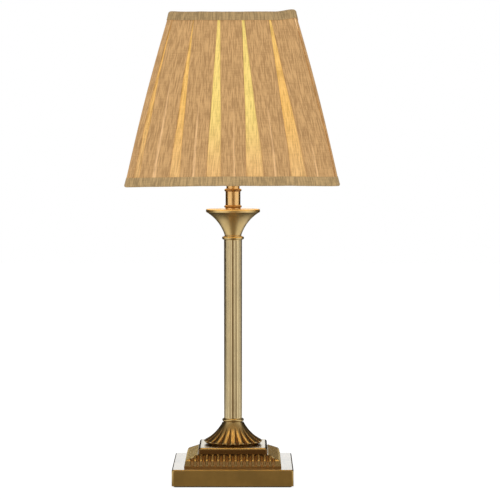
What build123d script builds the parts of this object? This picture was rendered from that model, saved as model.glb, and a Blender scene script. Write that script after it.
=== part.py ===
from build123d import *

import os
from math import cos, pi, radians, sin, sqrt

# A table lamp: a square stepped base with a fluted plinth and a ribbed boss, a fluted column, a trumpet
# collar, a bayonet lampholder with a push bar, a bulb, and a square box-pleated fabric shade.
#
# Frame, in millimetres: Z is up, the origin is the centre of the base's underside, the lamp's front
# faces -Y and +X is on the right as the front is looked at.

# ---- Driving dimensions ----

# Felt pad under the base
felt_t = 1.2
felt_inset = 2.0            # from the slab's sides to the felt's edge

# Slab, a hollow pressing
slab_side = 121.6
slab_h = 16.5
slab_wall = 3.0
slab_roof = 3.0
slab_corner_r = 2.5         # upright corners
slab_edge_r = 1.5           # round the top

# Iron weight inside the slab
weight_play = 0.7           # to the slab's walls, all round
weight_h = 12.7
weight_seat_t = 5.0         # iron left above the washer
weight_well_play = 3.0      # round the washer, in the well it sits in

# Hollow threaded rod that pulls the lamp together, its nut and washer
rod_d = 10.0
rod_bore_d = 7.2
rod_hole_play = 0.3         # between the rod and each hole it passes
rod_tail = 1.0              # below the nut
thread_play = 0.05          # between the rod and the pieces screwed on it
washer_d = 30.0
washer_t = 1.5
nut_across_flats = 14.0
nut_h = 4.0

# Bush in the back of the slab, where a lead goes in
bush_bore_d = 7.2
bush_neck_d = 9.0
bush_flange_d = 13.0
bush_flange_t = 1.5
bush_lip_d = 10.8
bush_lip_t = 2.5
bush_z_in_slab = 7.0        # the bush's centre above the slab's lower edge
bush_hole_play = 0.1
lead_channel_play = 0.8     # round the bush's lip, in the channel through the weight

# Fluted plinth
plinth_side = 97.4
plinth_h = 12.3             # from the slab to the underside of the top plate
plinth_foot_h = 1.5
plinth_knee_in = 1.5        # the knee's corner, in from the foot and up from the slab
plinth_knee_h = 7.2
plinth_knee_r = 4.0
plinth_shoulder_in = 12.9   # the top of the slope, in from the foot
plinth_wall = 4.2
plate_side = 69.4
plate_h = 4.8
plate_corner_r = 2.0        # upright corners
plate_edge_r = 1.6          # round the top
plate_roof = 2.6
flute_count = 15            # on each of the four sides
flute_pitch = 5.8
flute_r = 2.45
flute_lift = 0.5            # the flute's centre line outside the plinth's surface
flute_foot = 1.2            # from the slab to the flutes' round lower ends

# Ribbed boss
boss_h = 23.6
boss_foot_r = 28.3
boss_foot_h = 0.7
boss_tip_r = 29.6           # the ribs' tips
boss_tip_h = 3.5            # the tips' top above the plate
boss_top_r = 9.8
boss_sag = 2.8              # how far the outline curves in from a straight line
boss_rib_start = 0.25       # share of the slope that stays smooth, from the top
boss_wall = 3.4
boss_lip_in = 0.6           # the lip's lower edge, in from the tips
rib_count = 20
rib_share = 0.52            # a rib's width as a share of the ribs' spacing
rib_depth = 1.9             # at the tips
rib_edge_share = 0.45       # how far in a rib's edges lie, as a share of its depth
rib_growth = 0.8            # power by which the ribs deepen down the slope
rib_lip_share = 0.85        # the ribs' depth at the lip's lower edge, as a share of the depth at the tips
rib_stations = 5            # sections that the ribs are lofted through

# Beaded rings at both ends of the column
ring_low_r = 10.7
ring_low_h = 4.2
ring_high_r = 10.9
ring_high_h = 4.3
ring_waist_r = 9.4
ring_foot_share = 0.15      # the plain height under and over a ring's bead, as a share of the ring's height
spigot_h = 4.0
spigot_play = 0.1

# Fluted column
column_r = 9.1
column_h = 181.6
column_bore_d = 14.8
column_flutes = 20
column_flute_r = 1.6
column_flute_depth = 0.55

# Trumpet collar and the disc that closes it
trumpet_h = 27.4
trumpet_foot_r = 8.3
trumpet_lip_r = 27.5
trumpet_lip_h = 3.6
trumpet_lip_back = 0.9      # the lip stands this far outside the flare
trumpet_sag = 2.07
trumpet_wall = 1.3
trumpet_hub_h = 4.0
trumpet_rim_t = 1.7         # brass outside the disc
lip_round = 1.5
lip_edge = 0.5
disc_t = 1.6
disc_play = 0.1
disc_ledge = 1.4            # the step in the rim that the disc sits on

# Neck sleeve over the rod
neck_h = 20.6
neck_r = 7.6
neck_bead_low_r = 8.9
neck_bead_high_r = 8.75
neck_bead_h = 2.9
neck_foot_h = 1.0           # plain foot under the lower bead

# Lampholder
cap_h = 25.5
cap_r = 14.2
cap_entry_r = 6.7
cap_entry_h = 4.0
cap_dome_h = 7.5
cap_dome_bulge = 1.5        # how far the dome bows out from a straight line
cap_wall = 1.0
cap_floor = 1.6             # brass round the rod above the entry
cap_thread_h = 3.0
skirt_h = 32.0
skirt_r = 13.2
skirt_thread_r = 14.2
skirt_thread_h = 13.5
skirt_bore_d = 22.8
flange_r = 16.5
flange_h = 2.5
insert_play = 0.3
insert_seat = 12.5          # the insert's underside above the neck
insert_up = 8.0             # the insert's top above the skirt's lower edge
insert_shoulder_play = 0.2

# Push bar of the switch
bar_d = 5.0
bar_z_in_cap = 18.0         # above the neck
bar_play = 0.2
bar_throw = 6.0
bar_knob_d = 6.4
bar_knob_l = 4.0
bar_out = 26.0              # from the axis to the bar's end on the side it stands out

# Contact plungers and their springs
plunger_d = 4.0
plunger_tip_r = 0.8         # round the plungers' upper edges
plunger_l = 10.0
plunger_span = 11.0         # between the two plungers' axes
plunger_play = 0.3
plunger_out = 5.0           # above the insert
plunger_press = 3.0
spring_l = 6.5
spring_t = 0.5

# Bulb with a two-pin cap and a round glass
bulb_gap = 0.05             # between the plungers and the bulb's contacts
bulb_contact_h = 1.5
bulb_contact_d = 5.0
bulb_cap_r = 11.0
bulb_cap_h = 25.0
bulb_cap_t = 0.5
bulb_pin_d = 2.2
bulb_pin_reach = 13.4       # from the axis to a pin's end
bulb_pin_up = 6.5           # above the cap's lower edge
bulb_twist = 15.0           # degrees from locked to the entry slots
bulb_insulator_h = 4.0
glass_r = 22.5
glass_up = 27.0             # the glass's centre above the cap
glass_t = 0.8
glass_in_cap = 6.0
glass_neck_play = 0.1
glass_waist = -42.0         # degrees up the ball to where the glass's waist meets it
glass_waist_sag = 0.8
glass_shoulder = 24.0       # degrees up the ball to the middle of the arc over it
stem_h = 19.0
stem_top_r = 2.6
stem_sag = 2.4              # how far the stem curves in from a straight cone
filament_r = 0.45
filament_span = 10.0
filament_rise = 11.0
filament_bend_r = 1.0
slot_play = 0.3

# Shade ring, screwed on the skirt over the shade's fitter
nut_ring_r = 18.5
nut_ring_h = 6.5
nut_ring_play = 0.1
nut_ring_gap = 0.05
nut_ring_grips = 18
grip_r = 1.6
grip_depth = 0.7

# Shade, measured over its trim: a square frustum with rounded corners
shade_bottom_side = 210.0
shade_top_side = 128.0
shade_h = 170.8
shade_drop = 23.4           # from the fitter down to the shade's lower edge
shade_corner_r = 6.0
trim_t = 0.6
trim_low_h = 9.2
trim_high_h = 8.6
trim_gap = 0.05
cover_t = 0.5
cover_corner_r = 6.5
pleat_rise = 0.9            # a pleat's face above the cloth between pleats
pleats_per_side = 5
pleat_w = 24.5
front_pleat_shift = (8.8, 3.3, 1.4, -0.3, -0.7)   # how far each front pleat's foot strays to the right
lining_gap = 0.2
lining_t = 1.0
lining_end_gap = 3.6        # between a lining panel's upright edge and the next panel
wire_r = 1.6
wire_corner_r = 4.0
wire_gap = 0.05
wire_lean = 1.03            # the walls' slope makes a wire this much wider across
strut_r = 1.5
panel_gap = 0.3             # between a lining panel and the frame's wires
fitter_bore_d = 29.5
fitter_r = 19.5
fitter_t = 2.0
arm_r = 1.5
arm_level = 7.0             # level stretch of an arm next to the fitter
arm_bend_r = 12.0

# ---- Heights that follow ----

z_slab = felt_t
z_plinth = z_slab + slab_h
z_roof = z_plinth - slab_roof
z_plate = z_plinth + plinth_h
z_boss = z_plate + plate_h
z_ring_low = z_boss + boss_h
z_column = z_ring_low + ring_low_h
z_ring_high = z_column + column_h
z_trumpet = z_ring_high + ring_high_h
z_neck = z_trumpet + trumpet_h
z_holder = z_neck + neck_h
z_skirt = z_holder + cap_h
z_fitter = z_skirt + flange_h
z_washer = z_roof - weight_seat_t - washer_t
z_nut = z_washer - nut_h
z_bar = z_holder + bar_z_in_cap
z_insert = z_holder + insert_seat
z_insert_top = z_skirt + insert_up
z_plunger_top = z_insert_top + plunger_out
z_plunger = z_plunger_top - plunger_l
z_contact = z_plunger_top + bulb_gap
z_bulb_cap = z_contact + bulb_contact_h
z_bulb_cap_top = z_bulb_cap + bulb_cap_h
z_pin = z_bulb_cap + bulb_pin_up
z_glass = z_bulb_cap_top + glass_up
z_shade = z_fitter - shade_drop
z_shade_top = z_shade + shade_h
z_nut_ring = z_fitter + fitter_t + nut_ring_gap
z_loop_low = z_shade + trim_t + wire_gap + wire_r
z_loop_high = z_shade_top - trim_t - wire_gap - wire_r

pleat_in = trim_t + trim_gap
cloth_in = pleat_in + pleat_rise
lining_in = cloth_in + cover_t + lining_gap
cover_inner_r = cover_corner_r - cover_t
rod_hole_r = rod_d / 2 + rod_hole_play
rod_thread_r = rod_d / 2 + thread_play
bush_z = z_slab + bush_z_in_slab
weight_side = slab_side - 2 * slab_wall - 2 * weight_play
spigot_r = column_bore_d / 2 - spigot_play
rod_top = z_holder + cap_entry_h + cap_thread_h

FOOT = (Align.CENTER, Align.CENTER, Align.MIN)


# ---- Helpers ----

def disc(r, z, h):
    """A plain cylinder on the lamp's axis, from z up."""
    return Pos(0, 0, z) * Cylinder(r, h, align=FOOT)


def tube(r_out, r_in, z, h):
    return disc(r_out, z, h) - disc(r_in, z, h)


def block(side, z, h):
    return Pos(0, 0, z) * Box(side, side, h, align=FOOT)


def turned(outline):
    """Turns an outline, given as edges in the plane of radius and height, about the lamp's axis."""
    return revolve(Plane.XZ * make_face(outline), axis=Axis.Z)


def sagged(start, end, sag):
    """An arc from start to end that bows by sag to the left of the way it goes."""
    run, rise = end[0] - start[0], end[1] - start[1]
    length = sqrt(run * run + rise * rise)
    middle = ((start[0] + end[0]) / 2 - rise / length * sag, (start[1] + end[1]) / 2 + run / length * sag)
    return ThreePointArc(start, middle, end)


def on_arc(start, end, sag, share):
    """The point at a share of the way along the arc that sagged() gives."""
    point = sagged(start, end, sag) @ share
    return point.X, point.Y


def round_sides(solid):
    """The same solid on each of the four sides of the square."""
    return [Rot(0, 0, 90 * side) * solid for side in range(4)]


def bead(r_out, r_waist, r_in, z, h):
    """A ring with a half-round bead between two short waists."""
    edge = h * ring_foot_share
    outline = [
        Line((r_in, z), (r_waist, z)),
        Line((r_waist, z), (r_waist, z + edge)),
        ThreePointArc((r_waist, z + edge), (r_out, z + h / 2), (r_waist, z + h - edge)),
        Line((r_waist, z + h - edge), (r_waist, z + h)),
        Line((r_waist, z + h), (r_in, z + h)),
        Line((r_in, z + h), (r_in, z)),
    ]
    return turned(outline)


# ---- Base ----

def felt_pad():
    return block(slab_side - 2 * felt_inset, 0, felt_t)


def base_plinth():
    outside = block(slab_side, z_slab, slab_h)
    outside = fillet(outside.edges().filter_by(Axis.Z), slab_corner_r)
    outside = fillet(outside.faces().sort_by(Axis.Z)[-1].edges(), slab_edge_r)
    inside = block(slab_side - 2 * slab_wall, z_slab, slab_h - slab_roof)
    bush_hole = bush_cylinder(bush_neck_d / 2 + bush_hole_play, slab_side / 2 - 2 * slab_wall, 3 * slab_wall)
    return outside - inside - disc(rod_hole_r, z_roof, slab_roof) - bush_hole


def base_weight():
    lead_channel_w = bush_lip_d + 2 * lead_channel_play
    z_weight = z_roof - weight_h
    well = disc(washer_d / 2 + weight_well_play, z_weight, weight_h - weight_seat_t)
    channel_top = bush_z + bush_lip_d / 2 + lead_channel_play
    channel = Pos(0, 0, z_weight) * Box(
        lead_channel_w, weight_side, channel_top - z_weight, align=(Align.CENTER, Align.MIN, Align.MIN)
    )
    return block(weight_side, z_weight, weight_h) - well - channel - disc(rod_hole_r, z_weight, weight_h)


def base_washer():
    return tube(washer_d / 2, rod_hole_r, z_washer, washer_t)


def base_nut():
    hexagon = RegularPolygon(nut_across_flats / 2, 6, major_radius=False)
    return Pos(0, 0, z_nut) * extrude(hexagon, nut_h) - disc(rod_thread_r, z_nut, nut_h)


def threaded_rod():
    z_rod = z_nut - rod_tail
    return tube(rod_d / 2, rod_bore_d / 2, z_rod, rod_top - z_rod)


def bush_cylinder(r, y, length):
    """A cylinder along the bush's axis, from y towards the back."""
    return Pos(0, y, bush_z) * Rot(-90, 0, 0) * Cylinder(r, length, align=FOOT)


def cord_inlet_bush():
    back = slab_side / 2
    front = back - slab_wall - bush_lip_t
    body = bush_cylinder(bush_neck_d / 2, front, back + bush_flange_t - front)
    body += bush_cylinder(bush_flange_d / 2, back, bush_flange_t)
    body += bush_cylinder(bush_lip_d / 2, front, bush_lip_t)
    return body - bush_cylinder(bush_bore_d / 2, front, back + bush_flange_t - front)


def plinth_profile(grow):
    """The plinth's side view from foot to shoulder, moved out by grow, as points from the slab up."""
    half = plinth_side / 2 + grow
    return [
        (half, z_plinth + plinth_foot_h),
        (half - plinth_knee_in, z_plinth + plinth_knee_h + grow),
        (half - plinth_shoulder_in - grow / 2, z_plate + grow),
    ]


def square_from_profile(outline):
    """Runs a closed outline round the square, with mitred corners, as two crossed bars' common part."""
    bar = extrude(Plane.XZ * make_face(outline), plinth_side, both=True)
    return bar & Rot(0, 0, 90) * bar


def gadrooned_plinth():
    foot, knee, shoulder = plinth_profile(0)
    right = FilletPolyline(foot, knee, shoulder, radius=plinth_knee_r)
    left = mirror(right, about=Plane.YZ)
    outline = [
        Line((-foot[0], z_plinth), (foot[0], z_plinth)),
        Line((foot[0], z_plinth), foot),
        right,
        Line(shoulder, (-shoulder[0], shoulder[1])),
        left,
        Line((-foot[0], z_plinth), (-foot[0], foot[1])),
    ]
    body = square_from_profile(outline)
    body -= plinth_flutes()
    plate = block(plate_side, z_plate, plate_h)
    plate = fillet(plate.edges().filter_by(Axis.Z), plate_corner_r)
    plate = fillet(plate.faces().sort_by(Axis.Z)[-1].edges(), plate_edge_r)
    low_side = plinth_side - 2 * plinth_wall
    top_side = plate_side - 4 * plinth_wall
    hollow = loft(
        [
            Pos(0, 0, z_plinth) * Rectangle(low_side, low_side),
            Pos(0, 0, z_plinth + plinth_foot_h) * Rectangle(low_side, low_side),
            Pos(0, 0, z_boss - plate_roof) * Rectangle(top_side, top_side),
        ],
        ruled=True,
    )
    return body + plate - hollow - disc(rod_hole_r, z_plinth, z_boss - z_plinth)


def plinth_flutes():
    """Round-ended channels up each side, cut along the side's own outline."""
    foot, knee, shoulder = plinth_profile(flute_lift)
    z_low = z_plinth + flute_foot + flute_r
    start = (foot[0] - (z_low - foot[1]) * plinth_knee_in / (plinth_knee_h - plinth_foot_h), z_low)
    past = (2 * shoulder[0] - knee[0], 2 * shoulder[1] - knee[1])
    path = Plane.XZ * FilletPolyline(start, knee, past, radius=plinth_knee_r + flute_lift)
    channel = sweep(Plane(path @ 0, z_dir=path % 0) * Circle(flute_r), path)
    round_end = Pos(start[0], 0, start[1]) * Sphere(flute_r)
    flutes = []
    for place in range(flute_count):
        across = (place - (flute_count - 1) / 2) * flute_pitch
        flutes += round_sides(Pos(0, across, 0) * channel) + round_sides(Pos(0, across, 0) * round_end)
    return flutes


# ---- Boss, rings and column ----

def polar(r, angle):
    return r * cos(angle), r * sin(angle)


def ribbed_section(r, depth, z):
    """A closed section of convex ribs and concave flutes; with no depth it is a circle."""
    pitch = 2 * pi / rib_count
    half = pitch * rib_share / 2
    front = -pi / 2
    side_r = r - depth * rib_edge_share
    arcs = []
    for rib in range(rib_count):
        middle = front + rib * pitch
        arcs.append(
            ThreePointArc(polar(side_r, middle - half), polar(r, middle), polar(side_r, middle + half))
        )
        arcs.append(
            ThreePointArc(
                polar(side_r, middle + half),
                polar(r - depth, middle + pitch / 2),
                polar(side_r, middle + pitch - half),
            )
        )
    return Pos(0, 0, z) * make_face(arcs)


def fluted_boss():
    z_tip = z_boss + boss_tip_h
    top = (boss_top_r, z_ring_low)
    tip = (boss_tip_r, z_tip)
    z_foot_top = z_boss + boss_foot_h
    sections = []
    for step in range(rib_stations + 1):
        share = boss_rib_start + (1 - boss_rib_start) * step / rib_stations
        r, z = on_arc(top, tip, -boss_sag, share)
        sections.append(ribbed_section(r, rib_depth * (step / rib_stations) ** rib_growth, z))
    ribs = loft(sections)
    lip = loft(
        [
            ribbed_section(boss_tip_r, rib_depth, z_tip),
            ribbed_section(boss_tip_r - boss_lip_in, rib_depth * rib_lip_share, z_foot_top),
        ],
        ruled=True,
    )
    r_start, z_start = on_arc(top, tip, -boss_sag, boss_rib_start)
    r_middle, z_middle = on_arc(top, tip, -boss_sag, boss_rib_start / 2)
    smooth = turned(
        [
            Line((0, z_start), (r_start, z_start)),
            ThreePointArc((r_start, z_start), (r_middle, z_middle), top),
            Line(top, (0, top[1])),
            Line((0, top[1]), (0, z_start)),
        ]
    )
    hollow_top = z_start - boss_wall
    hollow = turned(
        [
            Line((0, z_boss), (boss_tip_r - 2 * boss_wall, z_boss)),
            sagged((boss_tip_r - 2 * boss_wall, z_boss), (rod_hole_r + boss_wall / 2, hollow_top), boss_sag),
            Line((rod_hole_r + boss_wall / 2, hollow_top), (0, hollow_top)),
            Line((0, hollow_top), (0, z_boss)),
        ]
    )
    body = ribs + lip + smooth + disc(boss_foot_r, z_boss, boss_foot_h)
    return body - hollow - disc(rod_hole_r, z_boss, boss_h)


def lower_ring():
    ring = bead(ring_low_r, ring_waist_r, rod_hole_r, z_ring_low, ring_low_h)
    return ring + tube(spigot_r, rod_hole_r, z_column, spigot_h)


def upper_ring():
    ring = bead(ring_high_r, ring_waist_r, rod_hole_r, z_ring_high, ring_high_h)
    return ring + tube(spigot_r, rod_hole_r, z_ring_high - spigot_h, spigot_h)


def fluted_column():
    centre_r = column_r - column_flute_depth + column_flute_r
    section = Circle(column_r) - Circle(column_bore_d / 2)
    for flute in range(column_flutes):
        x, y = polar(centre_r, -pi / 2 + 2 * pi * flute / column_flutes)
        section -= Pos(x, y) * Circle(column_flute_r)
    return Pos(0, 0, z_column) * extrude(section, column_h)


# ---- Trumpet, its disc and the neck ----

def trumpet_collar():
    z_lip = z_neck - trumpet_lip_h
    flare_top = (trumpet_lip_r - trumpet_lip_back, z_lip)
    seat_r = trumpet_lip_r - trumpet_rim_t
    z_seat = z_neck - disc_t
    inner_foot = (trumpet_foot_r - trumpet_wall, z_trumpet + trumpet_hub_h)
    inner_top = (seat_r - disc_ledge, z_seat - trumpet_wall)
    outline = [
        Line((rod_hole_r, z_trumpet), (trumpet_foot_r, z_trumpet)),
        sagged((trumpet_foot_r, z_trumpet), flare_top, trumpet_sag),
        Line(flare_top, (trumpet_lip_r, z_lip + lip_edge)),
        Line((trumpet_lip_r, z_lip + lip_edge), (trumpet_lip_r, z_neck - lip_round)),
        ThreePointArc(
            (trumpet_lip_r, z_neck - lip_round),
            (trumpet_lip_r - lip_round * (1 - cos(pi / 4)), z_neck - lip_round * (1 - sin(pi / 4))),
            (trumpet_lip_r - lip_round, z_neck),
        ),
        Line((trumpet_lip_r - lip_round, z_neck), (seat_r, z_neck)),
        Line((seat_r, z_neck), (seat_r, z_seat)),
        Line((seat_r, z_seat), (seat_r - disc_ledge, z_seat)),
        Line((seat_r - disc_ledge, z_seat), inner_top),
        sagged(inner_top, inner_foot, -trumpet_sag),
        Line(inner_foot, (rod_hole_r, z_trumpet + trumpet_hub_h)),
        Line((rod_hole_r, z_trumpet + trumpet_hub_h), (rod_hole_r, z_trumpet)),
    ]
    return turned(outline)


def trumpet_disc():
    disc_r = trumpet_lip_r - trumpet_rim_t - disc_play
    return tube(disc_r, rod_hole_r, z_neck - disc_t, disc_t)


def neck_sleeve():
    z_low = z_neck + neck_foot_h
    z_high = z_holder - neck_bead_h
    low_bulge = neck_bead_low_r - neck_r
    high_bulge = neck_bead_high_r - neck_r
    half = neck_bead_h / 2
    outline = [
        Line((rod_hole_r, z_neck), (neck_r, z_neck)),
        Line((neck_r, z_neck), (neck_r, z_low)),
        ThreePointArc((neck_r, z_low), (neck_r + low_bulge, z_low + half), (neck_r, z_low + 2 * half)),
        Line((neck_r, z_low + 2 * half), (neck_r, z_high)),
        ThreePointArc((neck_r, z_high), (neck_r + high_bulge, z_high + half), (neck_r, z_holder)),
        Line((neck_r, z_holder), (rod_hole_r, z_holder)),
        Line((rod_hole_r, z_holder), (rod_hole_r, z_neck)),
    ]
    return turned(outline)


# ---- Lampholder ----

def across(r, x, length, z):
    """A cylinder along X, from x to the right."""
    return Pos(x, 0, z) * Rot(0, 90, 0) * Cylinder(r, length, align=FOOT)


def holder_cap():
    z_dome = z_holder + cap_entry_h
    z_side = z_dome + cap_dome_h
    inner_r = cap_r - cap_wall
    z_floor = z_dome + cap_floor
    inner_foot_r = cap_entry_r + cap_wall
    outline = [
        Line((rod_thread_r, z_holder), (cap_entry_r, z_holder)),
        Line((cap_entry_r, z_holder), (cap_entry_r, z_dome)),
        sagged((cap_entry_r, z_dome), (cap_r, z_side), -cap_dome_bulge),
        Line((cap_r, z_side), (cap_r, z_skirt)),
        Line((cap_r, z_skirt), (inner_r, z_skirt)),
        Line((inner_r, z_skirt), (inner_r, z_side)),
        sagged((inner_r, z_side), (inner_foot_r, z_floor), cap_dome_bulge),
        Line((inner_foot_r, z_floor), (rod_thread_r, z_floor)),
        Line((rod_thread_r, z_floor), (rod_thread_r, z_holder)),
    ]
    return turned(outline) - across(bar_d / 2 + bar_play, -2 * cap_r, 4 * cap_r, z_bar)


def holder_skirt():
    bore_r = skirt_bore_d / 2
    body = tube(skirt_r, bore_r, z_skirt, skirt_h)
    body += tube(flange_r, bore_r, z_skirt, flange_h)
    body += tube(skirt_thread_r, bore_r, z_fitter, skirt_thread_h)
    body += tube(cap_r - cap_wall - thread_play, bore_r, z_skirt - cap_thread_h, cap_thread_h)
    return body - bayonet_slots()


def bayonet_slots():
    """Two L-shaped slots: down from the top, then round to where the bulb's pins lock."""
    half_w = bulb_pin_d / 2 + slot_play
    z_low = z_pin - plunger_press - half_w
    z_high = z_pin + half_w
    z_open = z_skirt + skirt_h - z_low
    margin = half_w / skirt_r * 180 / pi
    bore_r = skirt_bore_d / 2
    outside_r = skirt_thread_r + slot_play
    start = -bulb_twist - margin
    sweep_angle = bulb_twist + 2 * margin
    wedge = make_face(
        [
            Line((0, 0), polar(outside_r, radians(start))),
            ThreePointArc(
                polar(outside_r, radians(start)),
                polar(outside_r, radians(start + sweep_angle / 2)),
                polar(outside_r, radians(start + sweep_angle)),
            ),
            Line(polar(outside_r, radians(start + sweep_angle)), (0, 0)),
        ]
    )
    around = Pos(0, 0, z_low) * extrude(wedge, z_high - z_low) - disc(bore_r / 2, z_low, z_high - z_low)
    entry = Rot(0, 0, -bulb_twist) * Pos(bore_r / 2, 0, z_low) * Box(
        outside_r, 2 * half_w, z_open, align=(Align.MIN, Align.CENTER, Align.MIN)
    )
    slot = around + entry
    return [slot, Rot(0, 0, 180) * slot]


def holder_insert():
    lower_r = cap_r - cap_wall - insert_play
    upper_r = skirt_bore_d / 2 - insert_play
    z_shoulder = z_skirt - cap_thread_h - insert_shoulder_play
    body = disc(lower_r, z_insert, z_shoulder - z_insert) + disc(upper_r, z_insert, z_insert_top - z_insert)
    body -= across(bar_d / 2 + bar_play, -2 * cap_r, 4 * cap_r, z_bar)
    return body - at_plungers(plunger_d / 2 + plunger_play, z_plunger - spring_l, plunger_l + spring_l)


def at_plungers(r, z, h):
    """Two upright cylinders, on the plungers' axes."""
    return [Pos(0, side * plunger_span / 2, z) * Cylinder(r, h, align=FOOT) for side in (-1, 1)]


def contact_springs():
    outer = at_plungers(plunger_d / 2, z_plunger - spring_l, spring_l)
    inner = at_plungers(plunger_d / 2 - spring_t, z_plunger - spring_l, spring_l)
    return Compound([ring - hole for ring, hole in zip(outer, inner)])


def contact_plungers():
    tips = at_plungers(plunger_d / 2, z_plunger, plunger_l)
    return Compound([fillet(tip.faces().sort_by(Axis.Z)[-1].edges(), plunger_tip_r) for tip in tips])


def switch_bar():
    bar_in = bar_out - bar_throw
    bar = across(bar_d / 2, -bar_in, bar_in + bar_out, z_bar)
    bar += across(bar_knob_d / 2, bar_out - bar_knob_l, bar_knob_l, z_bar)
    return bar + across(bar_knob_d / 2, -bar_in, bar_knob_l, z_bar)


def shade_ring():
    body = tube(nut_ring_r, skirt_thread_r + nut_ring_play, z_nut_ring, nut_ring_h)
    grips = []
    for grip in range(nut_ring_grips):
        x, y = polar(nut_ring_r + grip_r - grip_depth, 2 * pi * grip / nut_ring_grips)
        grips.append(Pos(x, y, z_nut_ring) * Cylinder(grip_r, nut_ring_h, align=FOOT))
    return body - grips


# ---- Bulb ----

def bulb_contacts():
    return Compound(at_plungers(bulb_contact_d / 2, z_contact, bulb_contact_h))


def bulb_insulator():
    return disc(bulb_cap_r - bulb_cap_t, z_bulb_cap, bulb_insulator_h)


def bulb_cap():
    shell = tube(bulb_cap_r, bulb_cap_r - bulb_cap_t, z_bulb_cap, bulb_cap_h)
    pin_hole = across(bulb_pin_d / 2, -2 * bulb_cap_r, 4 * bulb_cap_r, z_pin)
    return shell - pin_hole


def bulb_pins():
    inner_end = bulb_cap_r - bulb_cap_t
    pin = across(bulb_pin_d / 2, inner_end, bulb_pin_reach - inner_end, z_pin)
    return Compound([pin, Rot(0, 0, 180) * pin])


def glass_outline(grow, z_low, neck_out):
    """Half of the glass's section, from the open neck round to the top."""
    neck_r = bulb_cap_r - bulb_cap_t - glass_neck_play + neck_out
    ball_r = glass_r + grow
    waist = radians(glass_waist)
    on_ball = (ball_r * cos(waist), z_glass + ball_r * sin(waist))
    neck_top = (neck_r, z_bulb_cap_top)
    middle = radians(glass_shoulder)
    return [
        Line((0, z_low), (neck_r, z_low)),
        Line((neck_r, z_low), neck_top),
        sagged(neck_top, on_ball, glass_waist_sag),
        ThreePointArc(on_ball, (ball_r * cos(middle), z_glass + ball_r * sin(middle)), (0, z_glass + ball_r)),
        Line((0, z_glass + ball_r), (0, z_low)),
    ]


def bulb_glass():
    z_low = z_bulb_cap_top - glass_in_cap
    outside = turned(glass_outline(0, z_low, 0))
    inside = turned(glass_outline(-glass_t, z_low, -glass_t))
    return outside - inside


def bulb_stem():
    foot_r = bulb_cap_r - bulb_cap_t - glass_neck_play - glass_t
    z_foot = z_bulb_cap_top - glass_in_cap
    z_top = z_bulb_cap_top - glass_in_cap + stem_h
    outline = [
        Line((0, z_foot), (foot_r, z_foot)),
        Line((foot_r, z_foot), (foot_r, z_foot + glass_t)),
        sagged((foot_r, z_foot + glass_t), (stem_top_r, z_top), stem_sag),
        Line((stem_top_r, z_top), (0, z_top)),
        Line((0, z_top), (0, z_foot)),
    ]
    return turned(outline)


def bulb_filament():
    z_foot = z_bulb_cap_top - glass_in_cap + stem_h
    half = filament_span / 2
    foot = stem_top_r - filament_r
    z_span = z_foot + filament_rise
    path = Plane.XZ * FilletPolyline(
        (-foot, z_foot), (-half, z_span), (half, z_span), (foot, z_foot), radius=filament_bend_r
    )
    wire = sweep(Plane(path @ 0, z_dir=path % 0) * Circle(filament_r), path)
    return wire & disc(glass_r, z_foot, glass_r)


# ---- Shade ----

def shade_half(z):
    """Half the shade's width over its trim, at a height."""
    share = (z - z_shade) / shade_h
    return shade_bottom_side / 2 + (shade_top_side - shade_bottom_side) / 2 * share


def shade_solid(inset, corner_r, z_low, z_high):
    """A solid frustum that lies inset from the trim's outside all round."""
    sections = []
    for z in (z_low, z_high):
        side = 2 * (shade_half(z) - inset)
        sections.append(Pos(0, 0, z) * RectangleRounded(side, side, corner_r))
    return loft(sections, ruled=True)


def shade_shell(inset, thickness, corner_r, inner_corner_r, z_low, z_high):
    outside = shade_solid(inset, corner_r, z_low, z_high)
    return outside - shade_solid(inset + thickness, inner_corner_r, z_low, z_high)


def wall_slab(inset, thickness, z_low, z_high, foot_x, foot_w, top_x, top_w):
    """A flat piece on the front wall, inset from the trim's outside, between two heights."""
    ends = []
    for z, x, width in ((z_low, foot_x, foot_w), (z_high, top_x, top_w)):
        y = -(shade_half(z) - inset - thickness / 2)
        ends.append(Pos(x, y, z) * Rectangle(width, thickness))
    return loft(ends, ruled=True)


def shade_cover():
    z_low = z_shade + trim_t + trim_gap
    z_high = z_shade_top - trim_t - trim_gap
    cover = shade_shell(cloth_in, cover_t, cover_corner_r, cover_inner_r, z_low, z_high)
    pleats = []
    for side in range(4):
        for place in range(pleats_per_side):
            step = place - (pleats_per_side - 1) / 2
            foot_x = step * 2 * shade_half(z_low) / pleats_per_side
            if side == 0:
                foot_x += front_pleat_shift[place]
            top_x = step * 2 * shade_half(z_high) / pleats_per_side
            thickness = pleat_rise + cover_t / 2
            pleat = wall_slab(pleat_in, thickness, z_low, z_high, foot_x, pleat_w, top_x, pleat_w)
            pleats.append(Rot(0, 0, 90 * side) * pleat)
    rounded = shade_solid(pleat_in, shade_corner_r - pleat_in, z_low, z_high)
    return cover + [pleat & rounded for pleat in pleats]


def shade_lining():
    """Four flat cloth panels, one behind each wall, from wire to wire."""
    z_low = z_loop_low + wire_r + panel_gap
    z_high = z_loop_high - wire_r - panel_gap
    widths = [2 * (shade_half(z) - lining_in - lining_end_gap - lining_t) for z in (z_low, z_high)]
    panel = wall_slab(lining_in, lining_t, z_low, z_high, 0, widths[0], 0, widths[1])
    return Compound(round_sides(panel))


def wire_loop(z):
    """A rounded square of wire just behind the cover."""
    side = 2 * wire_half(z)
    path = Pos(0, 0, z) * RectangleRounded(side, side, wire_corner_r).wire()
    return sweep(Plane(path @ 0, z_dir=path % 0) * Circle(wire_r), path)


def wire_half(z):
    return shade_half(z) - lining_in - wire_lean * wire_r


def top_wire_frame():
    return wire_loop(z_loop_high)


def bottom_wire_frame():
    return wire_loop(z_loop_low)


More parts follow.
